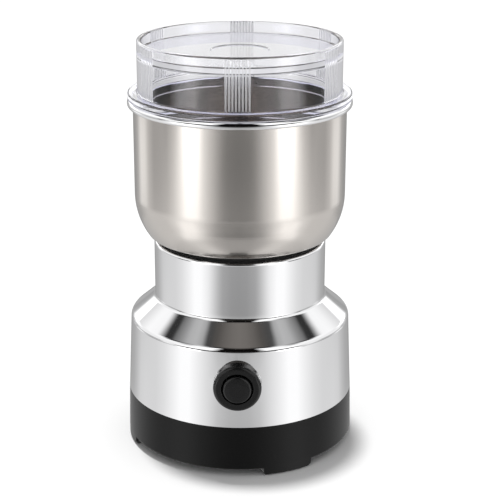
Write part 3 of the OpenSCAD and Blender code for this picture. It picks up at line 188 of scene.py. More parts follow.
# Above the horizon the front is dark up to a ceiling panel, with a white board on each
# side of the camera. A white wall stands round the sides and the back, and a dark gap
# parts it from the ceiling.
BOARD_HEIGHTS = [(6, 0.0), (10, 1.0), (58, 1.0), (64, 0.0)]
BOARD_SIDES = [(20, 0.0), (29, 1.3), (70, 1.3), (80, 0.0)]
CEILING = [(0, 0.2), (22, 0.185), (41, 0.15), (56, 0.1), (67, 0.09), (72, 0.09)]
CEILING_TINT = (1.06, 0.98, 0.91, 1.0)
FRONT_SKY = [
    (-3, 1.0), (-1, 0.02), (6, 0.02), (9, 2.0), (16, 2.0), (20, 0.02), (67, 0.02), (71, 1.0), (80, 1.0),
    (84, 3.5),
]
BACK_SKY = [
    (-12, 1.0), (0, 1.1), (20, 1.1), (30, 1.25), (39, 1.2), (40.5, 1.0), (43.4, 0.36), (45.3, 0.04),
    (49, 0.04), (51.1, 0.2), (55, 0.36), (58.7, 0.55), (62.4, 0.6), (65.6, 0.48), (68, 0.09), (75, 0.09),
    (80, 0.7),
]
FAR_BACK = [(0, 1.0), (125, 1.0), (140, 0.8), (147, 0.62), (155, 0.42), (165, 0.3), (172, 0.4), (180, 0.4)]
# A soft box hangs low behind the grinder. The lid's flat top and flange mirror it.
BACK_BOX = [(6, 0.0), (10, 0.9), (11.6, 1.05), (13, 2.0), (17, 1.9), (20, 0.0)]
# Angles from the front over which the box starts, and over which the front's sky goes
# over to the walls; and heights over which the lower half goes over to the sky
BOX_STARTS, WALLS_START, HORIZON = (120, 145), (52, 75), (-3, -1)
print(len(LOW_PANELS), "low and", len(MIDDLE_PANELS), "middle panel edges on each side")

# %% An empty tent, and where a ray looks in it
world = bpy.data.worlds.new("light_tent")
bpy.context.scene.world = world
world.use_nodes = True
world.cycles.sampling_method = "NONE"
tent = world.node_tree
tent.nodes.clear()
looking = split(tent, node(tent, "ShaderNodeTexCoord").outputs["Generated"])
side, turn = turn_from_front(tent, looking)
height = node(tent, "ShaderNodeMath", {0: looking["Z"]}, operation="ARCSINE").outputs[0]
rise = node(tent, "ShaderNodeMapRange", {0: height, 1: -math.pi / 2, 2: math.pi / 2}).outputs[0]


# %% Brightness by angle or by height, and soft steps between two of them
def by(share, stops, start=0, end=180):
    """Brightness from a colour ramp. The share goes from 0 to 1 between two angles."""
    ramp = node(tent, "ShaderNodeValToRGB", {0: share})
    marks = ramp.color_ramp.elements
    while len(marks) < len(stops):
        marks.new(1.0)
    for mark, (angle, grey) in zip(marks, stops):
        mark.position = (angle - start) / (end - start)
        mark.color = (grey, grey, grey, 1.0)
    return ramp.outputs[0]


def by_height(stops):
    """Brightness against height, from straight down to straight up."""
    return by(rise, stops, -90, 90)


def between(amount, angles, first, second):
    """Goes from first to second while the amount goes from one angle to the other."""
    step = node(tent, "ShaderNodeMapRange", {
        0: amount, 1: math.radians(angles[0]), 2: math.radians(angles[1])}, **SOFT_STEP)
    mix = node(tent, "ShaderNodeMix", {"Factor": step.outputs[0], "A": first, "B": second}, **COLOURS)
    return mix.outputs["Result"]


# %% Panels blended by height
around = [by(turn, panels) for panels in (
    FLOOR_PANELS, DEEP_PANELS, UNDER_PANELS, LOW_PANELS, BREAST_PANELS, MIDDLE_PANELS, HORIZON_PANELS)]
lower_half = around[0]
for heights, upper in zip(STEPS, around[1:]):
    lower_half = between(height, heights, lower_half, upper)
ceiling = node(tent, "ShaderNodeMix", {"Factor": 1.0, "A": by(turn, CEILING), "B": CEILING_TINT}, **TIMES)
front = node(tent, "ShaderNodeMix", {
    "Factor": 1.0, "A": by_height(FRONT_SKY), "B": ceiling.outputs["Result"]}, **TIMES)
boards = node(tent, "ShaderNodeMix", {
    "Factor": 1.0, "A": by_height(BOARD_HEIGHTS), "B": by(turn, BOARD_SIDES)}, **TIMES)
front_sky = node(tent, "ShaderNodeMix", {
    "Factor": 1.0, "A": front.outputs["Result"], "B": boards.outputs["Result"]}, **PLUS)
walls = node(tent, "ShaderNodeMix", {
    "Factor": 1.0, "A": by_height(BACK_SKY), "B": by(turn, FAR_BACK)}, **TIMES)
with_box = node(tent, "ShaderNodeMix", {
    "Factor": 1.0, "A": walls.outputs["Result"], "B": by_height(BACK_BOX)}, **PLUS)
back_sky = between(side, BOX_STARTS, walls.outputs["Result"], with_box.outputs["Result"])
sky = between(side, WALLS_START, front_sky.outputs["Result"], back_sky)
panels = between(height, HORIZON, lower_half, sky)

# %% White for the camera, even light for matt surfaces, panels for gloss
EVEN_LIGHT = 0.55
# Painted shade: seen through the lid, the tent is mostly an even grey instead of white
THROUGH_LID, LID_SHARE = 0.69, 0.92
ray = node(tent, "ShaderNodeLightPath")
through_lid = node(tent, "ShaderNodeMix", {
    "Factor": LID_SHARE, "A": panels, "B": (THROUGH_LID, THROUGH_LID, THROUGH_LID, 1.0)}, **COLOURS)
seen = (EVEN_LIGHT, EVEN_LIGHT, EVEN_LIGHT, 1.0)
for kind_of_ray, brightness in (
        ("Is Glossy Ray", panels), ("Is Transmission Ray", through_lid.outputs["Result"]),
        ("Is Camera Ray", (1.0, 1.0, 1.0, 1.0))):
    seen = node(tent, "ShaderNodeMix", {
        "Factor": ray.outputs[kind_of_ray], "A": seen, "B": brightness}, **COLOURS).outputs["Result"]
glow = node(tent, "ShaderNodeBackground", {"Color": seen, "Strength": 1.0})
node(tent, "ShaderNodeOutputWorld", {"Surface": glow.outputs[0]})
print(len(tent.nodes), "nodes in the tent")


# %% [markdown]
# ## Table and lamp
# The grinder stands on a plain white table that keeps its soft shadow. Where it is
# seen through the clear lid, the table's colour is painted a shade darker, a painted
# shade for the light that two polished walls of plastic take. It is not seen in the
# metal, where the tent's own lower panels stand for it.

# %% A flat sheet and its empty material
def square(name, reach, height, material):
    """A square sheet that lies flat round the axis, and the tree of its material."""
    mesh = bpy.data.meshes.new(name)
    mesh.from_pydata([(-reach, -reach, height), (reach, -reach, height), (reach, reach, height),
                      (-reach, reach, height)], [], [(0, 1, 2, 3)])
    made = bpy.data.objects.new(name, mesh)
    bpy.context.scene.collection.objects.link(made)
    worn = bpy.data.materials.new(material)
    worn.use_nodes = True
    worn.node_tree.nodes.clear()
    mesh.materials.append(worn)
    return made, worn.node_tree


# %% Table
TABLE_HALF = 6.0
table, tree = square("table", TABLE_HALF, 0, "white_table")
table.visible_glossy = False
ray = node(tree, "ShaderNodeLightPath")
# Painted shade: seen through the lid, the table takes a greyer colour
colour = node(tree, "ShaderNodeMix", {
    "Factor": ray.outputs["Is Transmission Ray"], "A": linear("#f4f4f4"), "B": linear("#dededf")}, **COLOURS)
paint = node(tree, "ShaderNodeBsdfDiffuse", {"Color": colour.outputs["Result"]})
node(tree, "ShaderNodeOutputMaterial", {"Surface": paint.outputs[0]})
print("table", 2 * TABLE_HALF, "m wide")

# %% [markdown]
# A ring of grey gel hangs low in front of the grinder. The neck and the bowl's curve
# mirror it, and the sleeve doesn't, so the neck comes out a shade darker than the
# sleeve below it. Its edges fade, and no camera or matt surface sees it.

# %% Grey gel
GEL_HEIGHT, GEL_REACH = 0.04, 0.27
# Distances from the axis between which its inner edge, and then its outer edge, fades
GEL_NEAR, GEL_FAR = (0.104, 0.11), (0.265, 0.215)
# Shares of half a turn between which its ends fade
GEL_ENDS = (38 / 180, 18 / 180)
# Painted shade: the gel's grey darkens only the reflections in the neck and the bowl's curve
GEL_COLOUR = 0.69
gel, tree = square("grey_gel", GEL_REACH, GEL_HEIGHT, "grey_gel")
gel.visible_camera = gel.visible_diffuse = gel.visible_transmission = gel.visible_shadow = False
place = on_piece(tree)
out = out_from_axis(tree, place)[1]
dense = 1.0
for amount, (clear_at, full_at) in (
        (out, GEL_NEAR), (out, GEL_FAR), (turn_from_front(tree, place)[1], GEL_ENDS)):
    edge = node(tree, "ShaderNodeMapRange", {0: amount, 1: clear_at, 2: full_at}, **SOFT_STEP)
    dense = node(tree, "ShaderNodeMath", {0: dense, 1: edge.outputs[0]}, operation="MULTIPLY").outputs[0]
colour = node(tree, "ShaderNodeMapRange", {0: dense, 3: 1.0, 4: GEL_COLOUR})
passing = node(tree, "ShaderNodeBsdfTransparent", {"Color": colour.outputs[0]})
node(tree, "ShaderNodeOutputMaterial", {"Surface": passing.outputs[0]})
print("gel from", GEL_NEAR[0], "to", GEL_FAR[0])

# %% Lamp
# One soft lamp hangs almost overhead, a little behind and to the left, so that the
# shadow on the table stays short and falls to the front and the right.
LAMP_SIDE = (-0.045, 0.085, 1.0)
LAMP_SPREAD = 4.2
LAMP_STRENGTH = 2.1
lamp = bpy.data.objects.new("overhead", bpy.data.lights.new("overhead", "SUN"))
bpy.context.scene.collection.objects.link(lamp)
lamp.data.energy = LAMP_STRENGTH
lamp.data.angle = math.radians(LAMP_SPREAD)
lamp.location = Vector(LAMP_SIDE)
lamp.rotation_euler = (-Vector(LAMP_SIDE)).to_track_quat("-Z", "Y").to_euler()
lamp.visible_glossy = False
lamp.visible_transmission = False
print("lamp", LAMP_STRENGTH, "W per square metre")


# %% [markdown]
# ## Finishes
# Each finish is named for the real material. It is one Principled shader, fed by a
# few textures on Object coordinates, so that the pattern stays on the piece when the
# piece moves. The scale of every pattern is worked out from a size in millimetres.
# Two patterns come back on many pieces: lines that run round the upright axis, as a
# lathe leaves them, and flecks. Either can change a colour or the gloss, or raise the
# surface.

# %% A new finish with its shader
MILLIMETRE = 0.001


def finish(name, **values):
    """A material with one Principled shader. values are the shader's own settings."""
    made = bpy.data.materials.new(name)
    made.use_nodes = True
    tree = made.node_tree
    tree.nodes.clear()
    shader = node(tree, "ShaderNodeBsdfPrincipled", {
        key.replace("_", " ").title().replace("Ior", "IOR"): value for key, value in values.items()})
    node(tree, "ShaderNodeOutputMaterial", {"Surface": shader.outputs[0]})
    return tree, shader


def per_size(millimetres):
    """Texture scale at which one feature of a noise measures this many millimetres."""
    return 1 / (millimetres * MILLIMETRE)


def wear(name, *nodes):
    """Gives CAD nodes a finish."""
    for cad_node in nodes:
        slots = NODES[cad_node].data.materials
        slots.clear()
        slots.append(bpy.data.materials[name])


# %% Lines, flecks, and what they change
def lines_round_axis(tree, millimetres, **settings):
    """A noise that changes with height only, as turning or grinding on a lathe leaves it."""
    rings = node(tree, "ShaderNodeCombineXYZ", {2: on_piece(tree)["Z"]})
    return node(tree, "ShaderNodeTexNoise", {
        "Vector": rings.outputs[0], "Scale": per_size(millimetres), "Detail": 2.0, **settings}).outputs[0]


def flecks(tree, millimetres, stretch=(1, 1, 1), detail=2.0):
    """A noise with flecks of this size. stretch is above 1 across the grain."""
    place = node(tree, "ShaderNodeTexCoord")
    grain = node(tree, "ShaderNodeMapping", {"Vector": place.outputs["Object"], "Scale": stretch})
    return node(tree, "ShaderNodeTexNoise", {
        "Vector": grain.outputs[0], "Scale": per_size(millimetres), "Detail": detail}).outputs[0]


def vary(tree, amount, shader_input, low, high, start=0.3, end=0.7):
    """Lets a noise move a number or a colour of the shader from low to high."""
    if isinstance(low, list):
        share = node(tree, "ShaderNodeMapRange", {0: amount, 1: start, 2: end})
        mix = node(tree, "ShaderNodeMix", {"Factor": share.outputs[0], "A": low, "B": high}, **COLOURS)
        tree.links.new(mix.outputs["Result"], shader_input)
    else:
        share = node(tree, "ShaderNodeMapRange", {0: amount, 1: start, 2: end, 3: low, 4: high})
        tree.links.new(share.outputs[0], shader_input)


def raise_by(tree, shader, amount, strength, millimetres):
    """Bumps the surface where the amount is high."""
    bump = node(tree, "ShaderNodeBump", {
        "Strength": strength, "Distance": millimetres * MILLIMETRE, "Height": amount})
    tree.links.new(bump.outputs[0], shader.inputs["Normal"])


# %% [markdown]
# ### Spun stainless steel
# The bowl is drawn from sheet and its wall is finished on a lathe with a fine pad.
# The marks run round the bowl and are far too fine to see one by one. What the eye
# sees is that light spreads up and down, across the marks, while the edges of the
# bands stay fairly crisp from left to right. An anisotropic shader does that. Its
# tangent runs round the Z axis, and a quarter turn makes the light spread upwards.

# %% Spun stainless steel
WALL_ROUGHNESS, RIM_ROUGHNESS = 0.14, 0.04
tree, shader = finish(
    "spun_stainless_steel", base_color=linear("#cfcac5"), metallic=1.0, roughness=WALL_ROUGHNESS,
    anisotropic=0.75, anisotropic_rotation=0.25)
tangent = node(tree, "ShaderNodeTangent", direction_type="RADIAL", axis="Z")
tree.links.new(tangent.outputs[0], shader.inputs["Tangent"])
# Turning marks are drawn 0.8 mm apart, coarser than the real ones, so that they show
raise_by(tree, shader, lines_round_axis(tree, 0.8, Detail=3.0, Roughness=0.7), 0.08, 0.02)
# The rolled rim is polished above the wall: it is smoother there, and its colour is painted brighter than the
# wall's as a painted sheen
RIM_START, RIM_END = 0.1497, 0.1501
above = on_piece(tree)["Z"]
vary(tree, above, shader.inputs["Roughness"], WALL_ROUGHNESS, RIM_ROUGHNESS, RIM_START, RIM_END)
vary(tree, above, shader.inputs["Base Color"], linear("#cfcac5"), linear("#f0f0f1"), RIM_START, RIM_END)
wear("spun_stainless_steel", "bowl")

# %% [markdown]
# ### Polished stainless steel
# The body is polished after drawing. It reflects almost like a mirror, with a very
# slight haze and the faint waves that a buffing wheel leaves.

# %% Polished stainless steel
tree, shader = finish(
    "polished_stainless_steel", base_color=linear("#e3e3e4"), metallic=1.0, roughness=0.1)
raise_by(tree, shader, flecks(tree, 18, detail=1.0), 0.05, 0.05)
vary(tree, flecks(tree, 6, detail=4.0), shader.inputs["Roughness"], 0.04, 0.065)
wear("polished_stainless_steel", "body_shell")

# %% [markdown]
# ### Clear polystyrene
# The lid is moulded clear plastic with a polished surface. It bends light a little
# more than water does, so its edges and ribs draw fine dark and bright lines. The
# crests of the grip ribs carry a painted highlight: a matt white shader draws them as
# thin white lines. They are found by their distance from the lid's axis.

# %% Clear polystyrene
tree, shader = finish(
    "clear_polystyrene", base_color=linear("#fbfbfd"), roughness=0.02, ior=1.5, transmission_weight=1.0)
# Light that the steel mirrors goes straight through the lid, or it would be lost in it
ray = node(tree, "ShaderNodeLightPath")
reflected = node(tree, "ShaderNodeMath", {
    0: ray.outputs["Is Glossy Ray"], 1: ray.outputs["Is Transmission Ray"]}, operation="GREATER_THAN")
straight_on = node(tree, "ShaderNodeBsdfTransparent", {"Color": linear("#f7f7fb")})
# Painted highlight on the rib crests: above the flange, the crests are mixed half way to a matt white shader
RIB_CREST = 0.0437
CREST_HIGHLIGHT_FROM, CREST_HIGHLIGHT_FULLY = RIB_CREST - 0.00022, RIB_CREST - 0.00012
FLANGE_TOP = 0.1567
CREST_HIGHLIGHT_SHARE = 0.5
place = on_piece(tree)
crest = node(tree, "ShaderNodeMapRange", {
    0: out_from_axis(tree, place)[1], 1: CREST_HIGHLIGHT_FROM, 2: CREST_HIGHLIGHT_FULLY})
above_flange = node(tree, "ShaderNodeMapRange", {0: place["Z"], 1: FLANGE_TOP, 2: FLANGE_TOP + 0.0001})
crest_highlight_mask = node(tree, "ShaderNodeMath", {
    0: crest.outputs[0], 1: above_flange.outputs[0]}, operation="MULTIPLY")
matt = node(tree, "ShaderNodeMath", {0: crest_highlight_mask.outputs[0], 1: CREST_HIGHLIGHT_SHARE}, operation="MULTIPLY")
painted_crest_highlight = node(tree, "ShaderNodeBsdfDiffuse", {"Color": linear("#f2f2f5")})
ribbed = node(tree, "ShaderNodeMixShader", {
    0: matt.outputs[0], 1: shader.outputs[0], 2: painted_crest_highlight.outputs[0]})
clear = node(tree, "ShaderNodeMixShader", {
    0: reflected.outputs[0], 1: ribbed.outputs[0], 2: straight_on.outputs[0]})
tree.links.new(clear.outputs[0], tree.nodes["Material Output"].inputs["Surface"])
wear("clear_polystyrene", "lid")
print("rib crests at", RIB_CREST)

# %% [markdown]
# ### Black plastics and rubber
# The base is satin ABS with a fine moulded grain, which spreads the reflection of
# the tent into soft bands. The button and its bezel have a smoother mould, so they
# are a little glossier. Rubber is duller still, with a fine grain.

# %% Satin black ABS
tree, shader = finish(
    "satin_black_abs", base_color=linear("#080808"), roughness=0.22, ior=1.4, specular_ior_level=0.25)
raise_by(tree, shader, flecks(tree, 0.5), 0.25, 0.03)
wear("satin_black_abs", "base_cover", "motor_frame", "switch_housing", "switch_nut", "cooling_fan",
     "blade_spacer")

# %% Semi-gloss black ABS
tree, shader = finish(
    "semi_gloss_black_abs", base_color=linear("#0c0c0d"), roughness=0.27, ior=1.42)
raise_by(tree, shader, flecks(tree, 0.4), 0.1, 0.02)
wear("semi_gloss_black_abs", "button_cap", "switch_bezel")

# %% Black rubber
tree, shader = finish(
    "black_rubber", base_color=linear("#0c0c0c"), roughness=0.7, ior=1.52)
raise_by(tree, shader, flecks(tree, 0.6, detail=3.0), 0.3, 0.05)
wear("black_rubber", "bowl_collar", "foot_pads", "motor_dampers", "cable_inlet", "shaft_seal")

# %% [markdown]
# ## Metals inside
# The motor and the switch are hidden at rest, but each metal still gets the surface
# that its making leaves: tumbling, plating, pressing, turning, grinding or rolling.
# Most of them show as fine lines or flecks.
#
# ### Steel of the blade, screws, sheet and shaft
# The blade is stamped and tumbled with ceramic chips, which rounds its edges and
# leaves short scratches in all directions. Screws are zinc plated, with a blue-white
# tint. Brackets are pressed from zinc-coated sheet with a faint spangle. The shaft is
# ground, so its lines run round it, and its upper end carries the blade's thread.

# %% Tumbled stainless steel
tree, shader = finish(
    "tumbled_stainless_steel", base_color=linear("#c6c6c5"), metallic=1.0, roughness=0.24)
one_way = flecks(tree, 0.4, stretch=(0.08, 1, 1))
other_way = flecks(tree, 0.4, stretch=(1, 0.08, 1))
scratches = node(tree, "ShaderNodeMath", {0: one_way, 1: other_way}, operation="MAXIMUM")
vary(tree, scratches.outputs[0], shader.inputs["Roughness"], 0.16, 0.34, start=0.45, end=0.75)
raise_by(tree, shader, scratches.outputs[0], 0.15, 0.02)
wear("tumbled_stainless_steel", "blade", "blade_washer", "blade_nut", "bowl_screws")

# %% Zinc-plated steel
tree, shader = finish(
    "zinc_plated_steel", base_color=linear("#c3c8cc"), metallic=1.0, roughness=0.3)
cloud = flecks(tree, 1.5)
vary(tree, cloud, shader.inputs["Base Color"], linear("#b4bcc4"), linear("#cfd0ca"))
vary(tree, flecks(tree, 0.3), shader.inputs["Roughness"], 0.22, 0.4)
wear("zinc_plated_steel", "base_screws", "mounting_screws", "motor_bolts")

# %% Pressed zinc-coated sheet
tree, shader = finish(
    "pressed_steel_sheet", base_color=linear("#b3b6b8"), metallic=1.0, roughness=0.36)
place = node(tree, "ShaderNodeTexCoord")
spangle = node(tree, "ShaderNodeTexVoronoi", {"Vector": place.outputs["Object"], "Scale": per_size(2.5)})
crystal = node(tree, "ShaderNodeSeparateXYZ", {0: spangle.outputs["Color"]})
vary(tree, crystal.outputs["X"], shader.inputs["Base Color"], linear("#a9adb0"), linear("#bdc0c1"), 0.0, 1.0)
vary(tree, crystal.outputs["Y"], shader.inputs["Roughness"], 0.3, 0.42, 0.0, 1.0)
wear("pressed_steel_sheet", "upper_bracket", "bearing_retainers", "thrust_washer")

# %% Ground shaft steel with its thread
# The thread's pitch in mm, which the screws share. It starts where the blade sits.
THREAD_PITCH = 0.8
thread_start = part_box("blade")[0][2]
tree, shader = finish(
    "ground_shaft_steel", base_color=linear("#bcbdbf"), metallic=1.0, roughness=0.16)
vary(tree, lines_round_axis(tree, 0.15), shader.inputs["Roughness"], 0.12, 0.24)
place = on_piece(tree)
round_shaft = node(tree, "ShaderNodeMath", {0: place["Y"], 1: place["X"]}, operation="ARCTAN2")
of_a_turn = node(tree, "ShaderNodeMath", {0: round_shaft.outputs[0], 1: 2 * math.pi}, operation="DIVIDE")
along = node(tree, "ShaderNodeMath", {0: place["Z"], 1: per_size(THREAD_PITCH)}, operation="MULTIPLY")
helix = node(tree, "ShaderNodeMath", {0: along.outputs[0], 1: of_a_turn.outputs[0]}, operation="SUBTRACT")
flank = node(tree, "ShaderNodeMath", {0: helix.outputs[0], 1: 0.5}, operation="PINGPONG")
threaded = node(tree, "ShaderNodeMath", {0: place["Z"], 1: thread_start}, operation="GREATER_THAN")
thread = node(tree, "ShaderNodeMath", {0: flank.outputs[0], 1: threaded.outputs[0]}, operation="MULTIPLY")
raise_by(tree, shader, thread.outputs[0], 1.0, 0.8)
wear("ground_shaft_steel", "motor_shaft")
print("thread from", round(thread_start * 1000, 1), "mm up")

# %% [markdown]
# ### Motor iron, copper, bronze and brass
# The iron is a stack of sheets half a millimetre thick, varnished together: dark
# seams between thin bright edges, each sheet a little different. The commutator is
# turned copper with a dark track where the brushes run. The bushes are sintered from
# bronze powder, which leaves pores for oil, and the small brass parts are rolled.

# %% Varnished laminations
SHEET = 0.5
tree, shader = finish(
    "varnished_laminations", base_color=linear("#77736d"), metallic=0.9, roughness=0.42, coat_weight=0.3,
    coat_roughness=0.25)
count = node(tree, "ShaderNodeMath", {0: on_piece(tree)["Z"], 1: per_size(SHEET)}, operation="MULTIPLY")
which = node(tree, "ShaderNodeMath", {0: count.outputs[0]}, operation="FLOOR")
each = node(tree, "ShaderNodeTexWhiteNoise", {"W": which.outputs[0]}, noise_dimensions="1D")
seam = node(tree, "ShaderNodeMath", {0: count.outputs[0], 1: 0.5}, operation="PINGPONG")
vary(tree, each.outputs["Value"], shader.inputs["Base Color"], linear("#5f5b56"), linear("#8b8781"), 0.0, 1.0)
raise_by(tree, shader, seam.outputs[0], 0.6, 0.15)
wear("varnished_laminations", "stator_core", "armature_core")

# %% Turned copper with the brush track
track_low, track_high = (corner[2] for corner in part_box("carbon_brushes"))
tree, shader = finish("turned_copper", base_color=linear("#c98258"), metallic=1.0, roughness=0.2)
vary(tree, lines_round_axis(tree, 0.12), shader.inputs["Roughness"], 0.16, 0.32)
up = on_piece(tree)["Z"]
above = node(tree, "ShaderNodeMath", {0: up, 1: track_low}, operation="GREATER_THAN")
below = node(tree, "ShaderNodeMath", {0: up, 1: track_high}, operation="LESS_THAN")
track = node(tree, "ShaderNodeMath", {0: above.outputs[0], 1: below.outputs[0]}, operation="MULTIPLY")
vary(tree, track.outputs[0], shader.inputs["Base Color"], linear("#c98258"), linear("#6d4634"), 0.0, 1.0)
wear("turned_copper", "commutator_bars")
print("brush track", round((track_high - track_low) * 1000, 1), "mm wide")

# %% Enamelled copper wire
WIRE = 0.45
tree, shader = finish(
    "enamelled_copper_wire", base_color=linear("#b0602c"), metallic=1.0, roughness=0.3, coat_weight=0.7,
    coat_roughness=0.12)
place = on_piece(tree)
layer = node(tree, "ShaderNodeMath", {0: out_from_axis(tree, place)[1], 1: place["Z"]}, operation="ADD")
turns = node(tree, "ShaderNodeMath", {0: layer.outputs[0], 1: per_size(WIRE)}, operation="MULTIPLY")
ridge = node(tree, "ShaderNodeMath", {0: turns.outputs[0], 1: 0.5}, operation="PINGPONG")
raise_by(tree, shader, ridge.outputs[0], 0.8, 0.3)
vary(tree, flecks(tree, 3), shader.inputs["Base Color"], linear("#a25424"), linear("#bd6d38"))
wear("enamelled_copper_wire", "armature_windings")

# %% Enamelled copper for wires that are modelled one by one
tree, shader = finish(
    "enamelled_copper", base_color=linear("#b0602c"), metallic=1.0, roughness=0.24, coat_weight=0.7,
    coat_roughness=0.1)
vary(tree, flecks(tree, 3), shader.inputs["Base Color"], linear("#a25424"), linear("#bd6d38"))
wear("enamelled_copper", "field_coils")

# %% Sintered bronze
tree, shader = finish("sintered_bronze", base_color=linear("#9c7547"), metallic=1.0, roughness=0.42)
place = node(tree, "ShaderNodeTexCoord")
pores = node(tree, "ShaderNodeTexVoronoi", {"Vector": place.outputs["Object"], "Scale": per_size(0.25)})
vary(tree, pores.outputs["Distance"], shader.inputs["Base Color"], linear("#5d4327"), linear("#a47c4c"),
     0.1, 0.4)
raise_by(tree, shader, pores.outputs["Distance"], 0.4, 0.08)
wear("sintered_bronze", "upper_bearing", "lower_bearing")

# %% Rolled brass
tree, shader = finish("rolled_brass", base_color=linear("#c9a55a"), metallic=1.0, roughness=0.24)
vary(tree, flecks(tree, 0.25, stretch=(0.05, 1, 1)), shader.inputs["Roughness"], 0.18, 0.34)
vary(tree, flecks(tree, 4), shader.inputs["Base Color"], linear("#b9944a"), linear("#d0ae66"))
wear("rolled_brass", "brush_holders", "brush_caps", "switch_terminals", "button_stem")

# %% Hard-drawn spring wire
tree, shader = finish("spring_wire", base_color=linear("#a4a5a8"), metallic=1.0, roughness=0.26)
vary(tree, flecks(tree, 0.2), shader.inputs["Roughness"], 0.2, 0.36)
wear("spring_wire", "brush_springs", "button_spring")

# %% [markdown]
# ### Carbon, phenolic, nylon and film capacitor
# Brushes are pressed from carbon powder. The lower bracket and the commutator's hub
# are phenolic resin filled with wood flour, which shows as lighter flecks. The terminal
# block is nylon, and the capacitor's case is yellow plastic with a satin mould.

# %% Pressed carbon
tree, shader = finish("pressed_carbon", base_color=linear("#2b2b2c"), roughness=0.5, ior=1.6)
grit = flecks(tree, 0.2)
vary(tree, grit, shader.inputs["Base Color"], linear("#1d1d1e"), linear("#3a3a3c"))
vary(tree, grit, shader.inputs["Roughness"], 0.4, 0.62)
raise_by(tree, shader, grit, 0.3, 0.05)
wear("pressed_carbon", "carbon_brushes")

# %% Filled phenolic
tree, shader = finish("filled_phenolic", base_color=linear("#4c2a1b"), roughness=0.34, ior=1.6)
flour = flecks(tree, 0.5, detail=4.0)
vary(tree, flour, shader.inputs["Base Color"], linear("#3d2014"), linear("#6a4029"), 0.4, 0.8)
raise_by(tree, shader, flour, 0.12, 0.03)
wear("filled_phenolic", "lower_bracket", "commutator_hub")

# %% Natural nylon
tree, shader = finish("natural_nylon", base_color=linear("#e4e1d4"), roughness=0.42, ior=1.53)
vary(tree, flecks(tree, 5), shader.inputs["Base Color"], linear("#ded9c8"), linear("#e9e7dd"))
raise_by(tree, shader, flecks(tree, 0.4), 0.15, 0.03)
wear("natural_nylon", "terminal_block")

# %% Yellow film capacitor
tree, shader = finish("yellow_polypropylene", base_color=linear("#d8a71e"), roughness=0.36, ior=1.49)
vary(tree, flecks(tree, 6), shader.inputs["Base Color"], linear("#cf9d18"), linear("#dfb02a"))
raise_by(tree, shader, flecks(tree, 0.35), 0.15, 0.03)
wear("yellow_polypropylene", "suppression_capacitor")
print(len(bpy.data.materials), "finishes")

# %% [markdown]
# ## Wire: springs and field coils
# A spring and a coil are both one wire along a path. The path is a row of points in
# Python. Geometry Nodes turn it to a curve, sweep a small circle along it and give
# it its finish, so one tree serves every wire and only its thickness changes.

# %% A tree of geometry nodes with named inputs
def new_tree(name, inputs):
    """An empty tree with these named inputs: a number with its first value, or a material."""
    tree = bpy.data.node_groups.new(name, "GeometryNodeTree")
    tree.interface.new_socket("Geometry", in_out="INPUT", socket_type="NodeSocketGeometry")
    tree.interface.new_socket("Geometry", in_out="OUTPUT", socket_type="NodeSocketGeometry")
    for label, value in inputs.items():
        kind = {int: "NodeSocketInt", float: "NodeSocketFloat"}.get(type(value), "NodeSocketMaterial")
        socket = tree.interface.new_socket(label, in_out="INPUT", socket_type=kind)
        if value is not None:
            socket.default_value = value
    return tree, node(tree, "NodeGroupInput").outputs


def end_tree(tree, geometry, material):
    """Ends a tree the way each one here ends: real geometry, with its finish."""
    real = node(tree, "GeometryNodeRealizeInstances", {"Geometry": geometry})
    worn = node(tree, "GeometryNodeSetMaterial", {"Geometry": real.outputs[0], "Material": material})
    node(tree, "NodeGroupOutput", {"Geometry": worn.outputs[0]})


def run_tree(name, tree, base_mesh, **inputs):
    """Runs a tree on a mesh and keeps the result as a plain mesh object."""
    made = bpy.data.objects.new(name, base_mesh)
    bpy.context.scene.collection.objects.link(made)
    grower = made.modifiers.new("grow", "NODES")
    grower.node_group = tree
    sockets = {item.name: item.identifier for item in tree.interface.items_tree}
    for label, value in inputs.items():
        grower[sockets[label.replace("_", " ").title()]] = value
    seen = bpy.context.evaluated_depsgraph_get()
    grown = bpy.data.meshes.new_from_object(made.evaluated_get(seen), depsgraph=seen)
    made.modifiers.remove(grower)
    grown.materials.clear()
    grown.materials.append(inputs["material"])
    made.data = grown
    print(name, len(grown.polygons), "faces")
    return made


# %% The tree that sweeps a wire along a path
wire_tree, given = new_tree("wire", {"Wire Radius": 0.001, "Sides": 8, "Material": None})
as_curve = node(wire_tree, "GeometryNodeMeshToCurve", {"Mesh": given["Geometry"]})
section = node(wire_tree, "GeometryNodeCurvePrimitiveCircle", {
    "Resolution": given["Sides"], "Radius": given["Wire Radius"]})
swept = node(wire_tree, "GeometryNodeCurveToMesh", {
    "Curve": as_curve.outputs[0], "Profile Curve": section.outputs[0], "Fill Caps": True})
smooth = node(wire_tree, "GeometryNodeSetShadeSmooth", {"Geometry": swept.outputs[0]})
end_tree(wire_tree, smooth.outputs[0], given["Material"])


def path_mesh(name, paths):
    """A mesh of open paths, each a list of points in millimetres."""
    points = [Vector(point) * MILLIMETRE for path in paths for point in path]
    edges = []
    start = 0
    for path in paths:
        edges += [(i, i + 1) for i in range(start, start + len(path) - 1)]
        start += len(path)
    mesh = bpy.data.meshes.new(name)
    mesh.from_pydata(points, edges, [])
    return mesh


# %% [markdown]
# ### Springs
# Two small springs push the brushes on to the commutator, and one sends the button
# back. A compression spring is wound with its last turn closed at each end, so that
# it stands square. The path rises slowly over these turns and quickly between them.

# %% The path of a compression spring
SPRING_STEPS = 24


